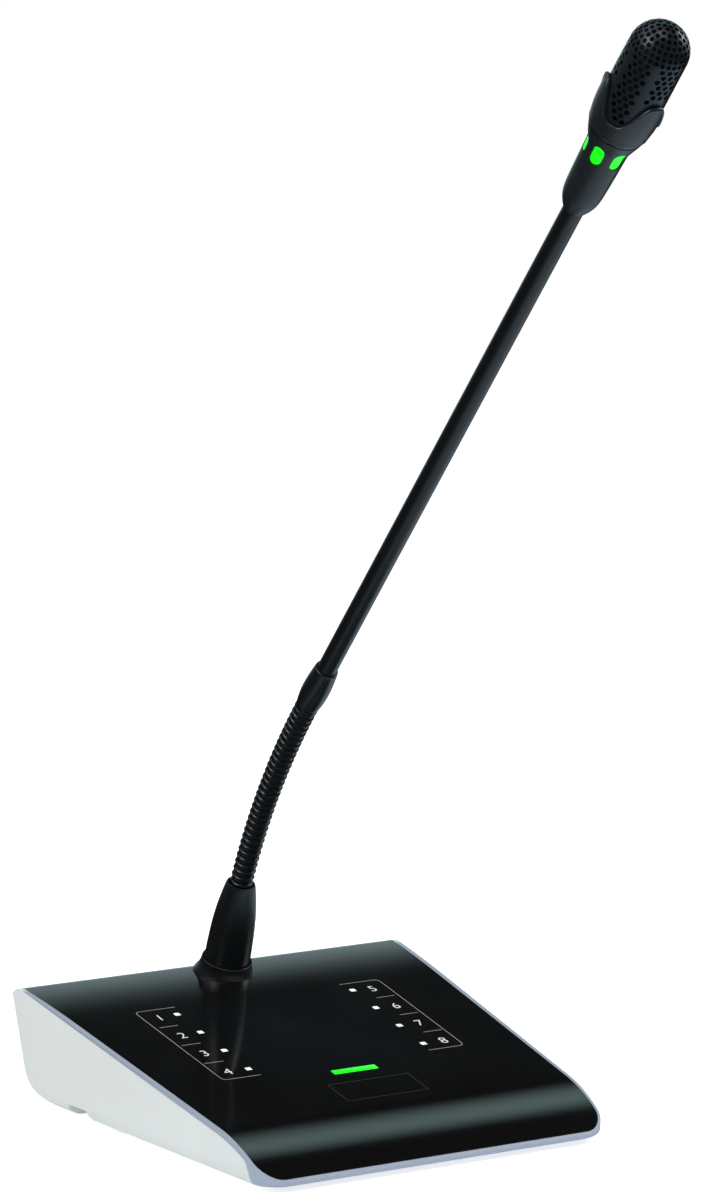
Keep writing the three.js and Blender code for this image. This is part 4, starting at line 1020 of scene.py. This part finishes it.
white_lens = glowing("white_lens", (0.80, 0.80, 0.80), (0.92, 0.92, 0.92), 0.35)
green_lens = glowing("green_lens", (0.0, 0.20, 0.0), (0.0, 0.80, 0.0), 0.95)
lens_round = 0.15 * mm
flange_growth = 1.4
for name in lamps:
    low, high = slope_box(name)
    margin = Vector((lamp_flange, lamp_flange, 0))
    lens = block(low + margin, high - margin)
    lens.name = name.replace("zone_light", "zone_lens").replace("light_bar", "lens")
    edit(lens, "FACE")
    pick(lens, lambda place: place.z < low.z + seat_gap / 3)
    bpy.ops.mesh.extrude_region_move()
    bpy.ops.transform.resize(value=(flange_growth, flange_growth, 1))
    round_edges(lens, lens_round, 3, 30)
    shade(lens)
    bpy.ops.object.shade_smooth_by_angle(angle=math.radians(40))
    lay_on_slope(lens)
    lens.data.materials.append(green_lens if name == "call_light_bar" else white_lens)
    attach(lens, "base")
    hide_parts(name)

# Print on the panel
# White ink: the numbers of the eight zone keys, a thin bracket round each row of four, and short
# dividers between them. The talk key has a faint grey outline.
ink_thickness = 0.03 * mm
ink_line = 0.20 * mm
digit_size = 6.5 * mm
digit_thinning = -0.06 * mm
digit_x = 44.4 * mm
digit_rows = (35.3 * mm, 19.2 * mm, 3.3 * mm, -12.8 * mm)
divider_rows = (27.8 * mm, 11.8 * mm, -4.2 * mm)
divider_start = 41.4 * mm
divider_end = 49 * mm
bracket_top = 42.5 * mm
bracket_bottom = -18.5 * mm
bracket_outer_top = 51.0 * mm
bracket_outer_bottom = 49.7 * mm
bracket_inner = 34.5 * mm
bracket_corner = 2.2 * mm
bracket_steps = 8
print_lift = -0.01 * mm
ink_looks = {"rough": (0.4, 0.5), "grain": (0.2, 0.005)}
white_ink = finish("white_ink", (0.78, 0.78, 0.78), (0.88, 0.88, 0.88), **ink_looks)
line_ink = finish("line_ink", (0.36, 0.36, 0.35), (0.46, 0.46, 0.45), **ink_looks)
grey_ink = finish("grey_ink", (0.013, 0.014, 0.015), (0.018, 0.019, 0.020), **ink_looks)


def printed(piece, material):
    """Lay a flat print on the panel."""
    lay_on_slope(piece)
    piece.data.materials.append(material)
    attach(piece, "base")


def leave_frame(width):
    """In edit mode, keep only a thin frame of a filled outline."""
    bpy.ops.mesh.select_mode(type="FACE")
    bpy.ops.mesh.select_all(action="SELECT")
    bpy.ops.mesh.inset(thickness=width)
    bpy.ops.mesh.delete(type="FACE")
    bpy.ops.mesh.select_all(action="SELECT")


for column, side in enumerate((-1, 1)):
    for row, y in enumerate(digit_rows):
        number = column * len(digit_rows) + row + 1
        hands_off()
        bpy.ops.object.text_add()
        digit = bpy.context.object
        digit.name = f"zone_number_{number}"
        digit.data.body = str(number)
        digit.data.align_x = "CENTER"
        digit.data.align_y = "CENTER"
        digit.data.size = digit_size
        digit.data.offset = digit_thinning
        digit.data.extrude = ink_thickness / 2
        bpy.ops.object.convert(target="MESH")
        digit.location = (side * digit_x, y, print_lift + ink_thickness / 2)
        take(digit)
        bpy.ops.object.transform_apply(location=True, rotation=True, scale=True)
        printed(digit, white_ink)
    for row, y in enumerate(divider_rows):
        low_x, high_x = sorted((side * divider_start, side * divider_end))
        divider = block(
            Vector((low_x, y - ink_line / 2, print_lift)),
            Vector((high_x, y + ink_line / 2, print_lift + ink_thickness)),
        )
        divider.name = f"divider_{column * len(divider_rows) + row + 1}"
        printed(divider, line_ink)
    bracket = framed_plane(
        "left_bracket" if side < 0 else "right_bracket", 0, print_lift,
        ((bracket_outer_top, bracket_top), (bracket_outer_bottom, bracket_bottom)),
    )
    bpy.ops.mesh.select_all(action="SELECT")
    round_corners(bracket_corner, bracket_steps)
    leave_frame(ink_line)
    bpy.ops.mesh.bisect(
        plane_co=(side * bracket_inner, 0, 0), plane_no=(side, 0, 0), clear_inner=True,
    )
    bpy.ops.mesh.select_all(action="SELECT")
    extrude((0, 0, ink_thickness))
    face_out()
    printed(bracket, line_ink)

# Outline of the talk key
key_half_width = 16.4 * mm
key_top = -33.2 * mm
key_bottom = -47.2 * mm
key_line = 0.18 * mm
key_ends = ((key_half_width, key_top), (key_half_width, key_bottom))
key = framed_plane("talk_key_outline", 0, print_lift, key_ends)
leave_frame(key_line)
extrude((0, 0, ink_thickness))
face_out()
printed(key, grey_ink)

# Collar and boot at the foot of the stem
# Both are moulded black rubber, leaned back a little from the panel's own tilt. The collar flares
# out on the panel, and the boot tapers up from an open groove inside it to the gooseneck.
boot_lean = math.radians(18.85)
boot_frame = Matrix.Translation((0, stem_y, top_height(stem_y))) @ Matrix.Rotation(boot_lean, 4, "X")
turn_steps = 72
collar_profile = (
    (8.65, -5.0), (11.6, -5.0), (11.6, -1.4), (11.5, -1.0), (11.1, -0.4), (10.5, 0.5), (9.95, 1.6),
    (9.55, 3.0), (9.35, 4.1), (9.28, 4.9), (9.18, 5.2), (9.0, 5.3), (8.82, 5.2), (8.74, 4.9), (8.7, 2.0),
)
boot_rise = 2.6 * mm
boot_profile = (
    (8.4, 0.0), (8.38, 5.0), (8.3, 10.0), (8.14, 15.0), (7.9, 19.5), (7.55, 23.5), (7.08, 27.0),
    (6.55, 30.2), (6.0, 33.2), (5.55, 35.4), (5.33, 36.2), (5.18, 36.55), (4.98, 36.6), (4.82, 36.45),
    (4.78, 35.8), (4.9, 33.0), (6.0, 25.0), (7.0, 16.0), (7.0, 0.0),
)


def turned_piece(name, profile, steps=turn_steps, scale=mm):
    """A turned piece: its profile of radius and height is spun round the upright axis."""
    points = [Vector((radius, 0, height)) * scale for radius, height in profile]
    on_axis = max(points[0].x, points[-1].x) < mm / 1000
    piece = line_piece(name, points if on_axis else points + points[:1])
    weld()
    bpy.ops.mesh.select_all(action="SELECT")
    bpy.ops.mesh.spin(steps=steps, angle=2 * math.pi, center=(0, 0, 0), axis=(0, 0, 1))
    weld(mm / 200)
    face_out()
    return piece


def near_panel(rise, to_frame):
    """What lies below a height over the panel, seen from another frame."""
    line = top_line(-rise)
    outline = [line[0] + nose_run * reach, *line, line[-1] + wall_run * reach, Vector((0, middle_y, 0))]
    piece = bar_across("near_panel", outline, -base_depth / 2, base_depth / 2)
    piece.data.transform(to_frame.inverted())
    return piece


def place_piece(piece, to_frame):
    piece.data.transform(to_frame)
    return piece


boot_rubber = finish(
    "boot_rubber", (0.0030, 0.0036, 0.0044), (0.0046, 0.0054, 0.0064),
    rough=(0.26, 0.34), grain=(0.25, 0.02),
)
collar = turned_piece("flared_collar", collar_profile)
cut(collar, near_panel(seat_gap / 3, boot_frame))
boot = turned_piece("stem_boot_skin", boot_profile)
cut(boot, near_panel(boot_rise, boot_frame))
for piece, node in ((collar, "stem_collar"), (boot, "stem_boot")):
    place_piece(piece, boot_frame)
    finish_shell(piece)
    piece.data.materials.append(boot_rubber)
    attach(piece, "base")
    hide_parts(node)

# Gooseneck
# A flexible arm wound from steel strip and painted satin black: each turn overlaps the next, so
# it is stepped like a saw from the side. It bends most at its foot.
rib_pitch = 2.75 * mm
rib_count = 40
neck_radius = 4.18 * mm
groove_radius = 3.62 * mm
neck_bore = 1.9 * mm
plain_foot = 2.4 * mm
plain_top = 1.6 * mm
neck_length = plain_foot + rib_count * rib_pitch + plain_top
seat_lean = math.radians(15.6)
stem_lean = math.radians(41.7)
bend_share = 0.86
seat_height = 8 * mm
path_steps = 400
neck_sides = 36
rib_profile = (                   # shares of the pitch and of the radius
    (0.04, 0.87), (0.10, 0.905), (0.45, 0.93), (0.66, 0.94),
    (0.72, 0.995), (0.78, 1.015), (0.86, 1.0), (0.98, 0.875),
)
rib_edge_angle = 50
split_share = 0.62
bend_foot = 29 * mm


def neck_lean(share):
    return seat_lean + (stem_lean - seat_lean) * max(share, 0) ** bend_share


path = [boot_frame.translation + Vector((0, -math.sin(seat_lean), math.cos(seat_lean))) * seat_height]
for step in range(path_steps):
    lean = neck_lean((step + 0.5) / path_steps)
    path.append(path[-1] + Vector((0, -math.sin(lean), math.cos(lean))) * neck_length / path_steps)


def neck_frame(share):
    """Where the gooseneck is at a share of its length, as a frame with Z along it."""
    at = share * path_steps
    index = min(int(at), path_steps - 1)
    middle = path[index].lerp(path[index + 1], at - index)
    return Matrix.Translation(middle) @ Matrix.Rotation(neck_lean(share), 4, "X")


rings = [(0, neck_radius)]
for rib in range(rib_count):
    foot = plain_foot + rib * rib_pitch
    rings += [(foot + share * rib_pitch, swell * neck_radius) for share, swell in rib_profile]
rings += [(neck_length - plain_top, neck_radius), (neck_length, neck_radius)]


def even_rings(low, high, radius, pitch):
    """Rings of one radius along a stretch, enough of them to bend."""
    count = round((high - low) / pitch)
    return [(low + (high - low) * step / count, radius) for step in range(count + 1)]


def neck_piece(name, part):
    """One stretch of the gooseneck or of its cable: its profile is spun, and follows the path."""
    piece = turned_piece(name, [(radius, height) for height, radius in part], neck_sides, 1)
    for vertex in piece.data.vertices:
        frame_here = neck_frame(vertex.co.z / neck_length)
        vertex.co = frame_here @ Vector((vertex.co.x, vertex.co.y, 0))
    shade(piece, rib_edge_angle)
    return piece


split = plain_foot + round(split_share * rib_count) * rib_pitch
bend_start = neck_frame(bend_foot / neck_length).translation
bend_middle = neck_frame(split / neck_length).translation
bend_end = neck_frame(1).translation
lower = [ring for ring in rings if ring[0] < split - rib_pitch / 100] + [(split, groove_radius)]
upper = [(split, groove_radius)] + [ring for ring in rings if ring[0] > split - rib_pitch / 100]
lower += even_rings(0, split, neck_bore, rib_pitch)[::-1]
upper += even_rings(split, neck_length, neck_bore, rib_pitch)[::-1]
lower_neck = neck_piece("gooseneck_lower", lower)
upper_neck = neck_piece("gooseneck_upper", upper)
neck_paint = finish(
    "neck_paint", (0.0040, 0.0050, 0.0062), (0.0070, 0.0085, 0.0105),
    rough=(0.22, 0.30), grain=(0.2, 0.01), metal=0.3,
)

# The microphone cable inside bends along with it
neck_cable_radius = 1.3 * mm
cable_step = 2.5 * mm


def cable_piece(name, low, high):
    line = even_rings(low, high, neck_cable_radius, cable_step)
    return neck_piece(name, [(low, 0)] + line + [(high, 0)])


lower_cable = cable_piece("neck_cable_lower", 0, split)
upper_cable = cable_piece("neck_cable_upper", split, neck_length)
for piece, (a, b), start, end, material, node in (
    (lower_neck, ("base", "neck"), bend_start, bend_middle, neck_paint, "gooseneck"),
    (upper_neck, ("neck", "stem"), bend_middle, bend_end, neck_paint, "gooseneck"),
    (lower_cable, ("base", "neck"), bend_start, bend_middle, cable_skin, "neck_cable"),
    (upper_cable, ("neck", "stem"), bend_middle, bend_end, cable_skin, "neck_cable"),
):
    piece.data.materials.append(material)
    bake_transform(piece, a, b, start=start, end=end)
    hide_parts(node)

# Sleeve and tube
# A black aluminium tube carries the head, and a turned sleeve swells over the joint below it.
stem_frame = neck_frame(1)
sleeve_profile = (
    (1.9, 0.3), (4.1, 0.3), (4.3, 0.5), (4.42, 1.2), (4.66, 3.0), (4.84, 5.2), (4.92, 7.6), (4.9, 10.0),
    (4.8, 12.4), (4.64, 14.6), (4.44, 16.8), (4.28, 18.4), (4.18, 18.85), (4.0, 19.0), (3.65, 19.0),
    (3.65, 11.0), (1.9, 11.0),
)
tube_radius = 3.52
tube_bore = 2.6
tube_foot = 11.3
tube_top = 253.6
tube_profile = (
    (tube_bore, tube_foot), (tube_radius, tube_foot), (tube_radius, tube_top), (tube_bore, tube_top),
)
sleeve_plastic = finish(
    "sleeve_plastic", (0.0035, 0.0045, 0.0056), (0.0052, 0.0064, 0.0080),
    rough=(0.24, 0.32), grain=(0.25, 0.01),
)
tube_paint = finish(
    "tube_paint", (0.0035, 0.0045, 0.0056), (0.0055, 0.0068, 0.0084),
    rough=(0.25, 0.34), grain=(0.2, 0.01), metal=0.2,
)
sleeve = turned_piece("stem_sleeve_skin", sleeve_profile)
tube = turned_piece("stem_tube_skin", tube_profile)
for piece, node, material in (
    (sleeve, "stem_sleeve", sleeve_plastic),
    (tube, "stem_tube", tube_paint),
):
    place_piece(piece, stem_frame)
    finish_shell(piece)
    piece.data.materials.append(material)
    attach(piece, "stem")
    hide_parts(node)

# Body of the microphone head
# A moulded shell in blue-black satin plastic. Six long round-ended windows show the light ring.
head_foot = 241.9 * mm
head_frame = stem_frame @ Matrix.Translation((0, 0, head_foot))
head_outer = (
    (3.65, 0.9), (3.8, 1.0), (4.2, 1.7), (4.8, 2.8), (5.4, 4.1), (5.92, 5.5), (6.27, 7.0), (6.48, 8.6),
    (6.61, 10.4), (6.72, 13.0), (6.86, 17.0), (7.0, 21.5), (7.08, 25.0), (7.14, 27.5), (7.26, 28.8),
    (7.5, 29.8), (7.9, 31.0), (8.4, 32.4), (8.9, 33.8), (9.25, 34.8), (9.32, 35.1),
)
head_wall = 1.1
head_sides = 96
shell_floor = 21                  # from here up the shell is hollow
head_inner = [(radius - head_wall, height) for radius, height in head_outer if height > shell_floor]
head_bore = [(1.9, 20.2), (1.9, 12.3), (3.6, 12.3), (3.6, 0.9)]
head_plastic = finish(
    "head_plastic", (0.0060, 0.0085, 0.0115), (0.0085, 0.0115, 0.0150),
    rough=(0.33, 0.42), grain=(0.22, 0.03),
)
head_body = turned_piece("head_shell", list(head_outer) + head_inner[::-1] + head_bore, head_sides)
window_count = 6
window_width = 4.2 * mm
window_length = 7.6 * mm
window_middle = 27.9 * mm
window_start = 2 * mm
window_reach = 12 * mm
window_turn = math.radians(-26.7)
window_turns = [window_turn + 2 * math.pi * window / window_count for window in range(window_count)]
lens_gap = 0.3 * mm
lens_sink = 0.3 * mm


def round_bar(name, width, length, turn, low, high):
    """A bar with round ends that points away from the head's axis."""
    hands_off()
    bpy.ops.mesh.primitive_cylinder_add(
        vertices=32, radius=width / 2, depth=high - low,
        location=((low + high) / 2, 0, 0), rotation=(0, math.pi / 2, 0),
    )
    piece = named(name)
    edit(piece)
    for end in (1, -1):
        pick(piece, lambda place: place.z * end > mm / 100)
        bpy.ops.transform.translate(value=(0, 0, end * (length - width) / 2))
    hands_off()
    piece.data.transform(Matrix.Rotation(turn, 4, "Z") @ Matrix.Translation((0, 0, window_middle)))
    return piece


for turn in window_turns:
    cut(head_body, round_bar("window", window_width, window_length, turn, window_start, window_reach))
finish_shell(head_body)
place_piece(head_body, head_frame)
head_body.data.materials.append(head_plastic)
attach(head_body, "stem")
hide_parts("head_body")

# Light ring
# A clear moulded ring lit from its board. Its six pads fill the windows and glow green.
ring_top = 33
ring_wall = 1 * mm
ring_outer = [
    (radius * mm - head_wall * mm - seat_gap, height * mm)
    for radius, height in head_outer
    if shell_floor < height < ring_top
]
ring_inner = [(radius - ring_wall, height) for radius, height in (ring_outer[-1], ring_outer[0])]
light_ring = turned_piece("light_ring_lens", ring_outer + ring_inner, head_sides, 1)
pad_skin = [(max(radius * mm - lens_sink, mm), height * mm) for radius, height in head_outer]
pad_limit = turned_piece("pad_limit", [(0, 0)] + pad_skin + [(0, pad_skin[-1][1])], head_sides, 1)
pad_start = ring_outer[2][0] - ring_wall / 2
for turn in window_turns:
    pad = round_bar(
        "pad", window_width - 2 * lens_gap, window_length - 2 * lens_gap, turn, pad_start, window_reach,
    )
    cut(light_ring, pad, "UNION")
cut(light_ring, pad_limit, "INTERSECT")
finish_shell(light_ring)
place_piece(light_ring, head_frame)
light_ring.data.materials.append(green_lens)
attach(light_ring, "stem")
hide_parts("light_ring")

# Lobed collar
# A cup in the same plastic holds the grille. Its rolled edge rises and falls in three lobes.
cup_outline = (
    (9.38, 35.35), (9.5, 35.7), (9.85, 36.8), (10.3, 38.8),
    (10.75, 42.0), (11.0, 46.0), (11.08, 51.4), (11.1, 55.0),
)
cup_hole = 4.4
cup_foot_radius = 9.2
cup_floor_top = 37.4
cup_inner = 10.12
cup_wall_foot = 0.25
cup_steps = 14
lobe_count = 3
lobe_turn = math.radians(-85)
lobe_low = 43.2
lobe_high = 54.5
lobe_steepness = 0.8
cup_sides = 144
bead_radius = 0.8


def cup_radius_at(height):
    for (low_radius, low), (high_radius, high) in zip(cup_outline, cup_outline[1:]):
        if height <= high:
            share = max(0, (height - low) / (high - low))
            return low_radius + (high_radius - low_radius) * share
    return cup_outline[-1][0]


def lobe_edge_at(angle):
    wave = (1 + math.cos(lobe_count * (angle - lobe_turn))) / 2
    steep_wave = wave * wave * (3 - 2 * wave)
    share = wave + (steep_wave - wave) * lobe_steepness
    return lobe_low + (lobe_high - lobe_low) * share


# The cup is turned as a low blank, and its wall is then drawn up to the lobes
blank_wall = cup_inner + 0.5
blank_inside = cup_inner + 0.1
blank_foot = 0.2
blank_rim = 1.3
blank_floor = 1.25
blank_hole = 1.22
blank_slack = 0.02
cup_foot = cup_outline[0][1]
cup_profile = [(cup_hole, cup_foot), (cup_foot_radius, cup_foot)]
cup_profile += [(blank_wall, cup_foot + blank_foot + step / cup_steps) for step in range(cup_steps + 1)]
cup_profile += [
    (cup_inner, cup_foot + blank_rim),
    (cup_inner, cup_foot + blank_floor),
    (cup_hole, cup_foot + blank_hole),
]
cup = turned_piece("lobed_cup", cup_profile, cup_sides)
for vertex in cup.data.vertices:
    place = vertex.co / mm
    radius = math.hypot(place.x, place.y)
    angle = math.atan2(place.y, place.x)
    edge = lobe_edge_at(angle) - bead_radius
    rise = place.z - cup_foot
    height = place.z
    if radius > blank_inside and rise > blank_foot / 2:
        wall_foot = cup_foot + cup_wall_foot
        height = wall_foot + (rise - blank_foot) * (edge - wall_foot)
        radius = cup_radius_at(height)
    elif rise > blank_rim - blank_slack:
        height = edge
        radius = cup_inner
    elif rise > blank_hole - blank_slack:
        height = cup_floor_top
    vertex.co = Vector((radius * math.cos(angle), radius * math.sin(angle), height)) * mm

# The rolled edge is a round bead along the lobed line
bead_steps = 180
bead_sides = 14
bead_middle = 10.6
bead_shift = 0.05
hands_off()
bpy.ops.mesh.primitive_torus_add(
    major_segments=bead_steps,
    minor_segments=bead_sides,
    major_radius=bead_middle * mm,
    minor_radius=bead_radius * mm,
)
bead = named("lobed_bead")
for vertex in bead.data.vertices:
    place = vertex.co / mm
    angle = math.atan2(place.y, place.x)
    edge = lobe_edge_at(angle) - bead_radius
    radius = (cup_radius_at(edge) + cup_inner) / 2 + bead_shift
    radius += math.hypot(place.x, place.y) - bead_middle
    vertex.co = Vector((radius * math.cos(angle), radius * math.sin(angle), edge + place.z)) * mm
cut(cup, bead, "UNION")
finish_shell(cup, 45)
place_piece(cup, head_frame)
cup.data.materials.append(head_plastic)
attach(cup, "stem")
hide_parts("head_collar")

# Grille
# A drawn steel cap, punched all over its dome and in six fields down its side, painted black.
grille_foot = 37.7
grille_foot_radius = 10.02
dome_radius = 9.85
dome_middle = 68.6
grille_wall = 0.6
dome_steps = 24
side_steps = 24
grille_sides = 144
hole_radius = 0.90
hole_sides = 12
hole_draft = 0.08
punch_depth = 2.2
field_count = 6
field_turn = math.radians(29.7)
field_columns = 6
column_turn = 1.25 / dome_radius
field_row_pitch = 2.05
field_top = 68.0
field_rows = 12
lobe_clearance = 1.8 * hole_radius
dome_row_pitch = 1.98
dome_hole_pitch = 2.0
dome_hole_share = 0.88
dome_margin = 0.1


def grille_line(depth):
    line = []
    for step in range(side_steps + 1):
        share = step / side_steps
        radius = grille_foot_radius + (dome_radius - grille_foot_radius) * share
        line.append((radius - depth, grille_foot + (dome_middle - grille_foot) * share))
    for step in range(1, dome_steps + 1):
        rise = math.pi / 2 * step / dome_steps
        radius = dome_radius - depth
        line.append((radius * math.cos(rise), dome_middle + radius * math.sin(rise)))
    return line


grille = turned_piece("grille_cap", grille_line(grille_wall)[::-1] + grille_line(0), grille_sides)

# One countersunk punch, copied to every hole
hands_off()
bpy.ops.mesh.primitive_cone_add(
    vertices=hole_sides,
    radius1=(hole_radius - hole_draft) * mm,
    radius2=(hole_radius + hole_draft) * mm,
    depth=punch_depth * mm,
    location=(dome_radius * mm, 0, 0),
    rotation=(0, math.pi / 2, 0),
)
punch = named("punch")
punches = []


def hole_at(height, angle, rise, width=1):
    """Copy the punch to a height and an angle, tilted up by a rise."""
    copy = punch.copy()
    copy.data = punch.data.copy()
    bpy.context.scene.collection.objects.link(copy)
    copy.data.transform(
        Matrix.Translation((0, 0, height * mm))
        @ Matrix.Rotation(angle, 4, "Z")
        @ Matrix.Rotation(-rise, 4, "Y")
        @ Matrix.Diagonal((1, width, width, 1))
    )
    punches.append(copy)


# Fields down the side: every other column stands half a step lower
for field in range(field_count):
    for column in range(field_columns):
        from_middle = column - (field_columns - 1) / 2
        angle = field_turn + 2 * math.pi * field / field_count + from_middle * column_turn
        for row in range(column % 2, field_rows, 2):
            height = field_top - row * field_row_pitch
            if height > lobe_edge_at(angle) + lobe_clearance:
                hole_at(height, angle, 0)

# Rings round the pole of the dome: six holes in the first, and six more in each one after it
dome_rows = int((math.pi / 2 - dome_margin) / (dome_row_pitch / dome_radius))
for row in range(1, dome_rows + 1):
    slant = row * dome_row_pitch / dome_radius
    around = 2 * math.pi * dome_radius * math.sin(slant)
    count = min(6 * row, int(around / dome_hole_pitch))
    for index in range(count):
        angle = 2 * math.pi * (index + (row % 2) / 2) / count
        hole_at(dome_middle, angle, math.pi / 2 - slant, dome_hole_share)
hole_at(dome_middle, 0, math.pi / 2, dome_hole_share)
bpy.data.objects.remove(punch)
hands_off()
for copy in punches:
    copy.select_set(True)
bpy.context.view_layer.objects.active = punches[0]
bpy.ops.object.join()
holes = bpy.context.object
cut(grille, holes)
finish_shell(grille)
place_piece(grille, head_frame)
grille_paint = finish(
    "grille_paint", (0.013, 0.017, 0.023), (0.020, 0.026, 0.034),
    rough=(0.26, 0.34), grain=(0.3, 0.01), metal=0.6,
)
grille.data.materials.append(grille_paint)
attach(grille, "stem")
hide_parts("grille")

# Foam windscreen inside the grille
# A sleeve of open-cell foam in near black, seen only through the holes.
foam_paint = finish(
    "dark_foam", (0.002, 0.002, 0.002), (0.006, 0.006, 0.007), rough=(0.9, 1.0), grain=(0.35, 0.3),
)
capsule_steel = finish(
    "capsule_steel", (0.35, 0.35, 0.36), (0.45, 0.45, 0.46), rough=(0.3, 0.4), grain=(0.3, 0.01), metal=1,
)
coat(foam_paint, "windscreen")
coat(capsule_steel, "mic_capsule")
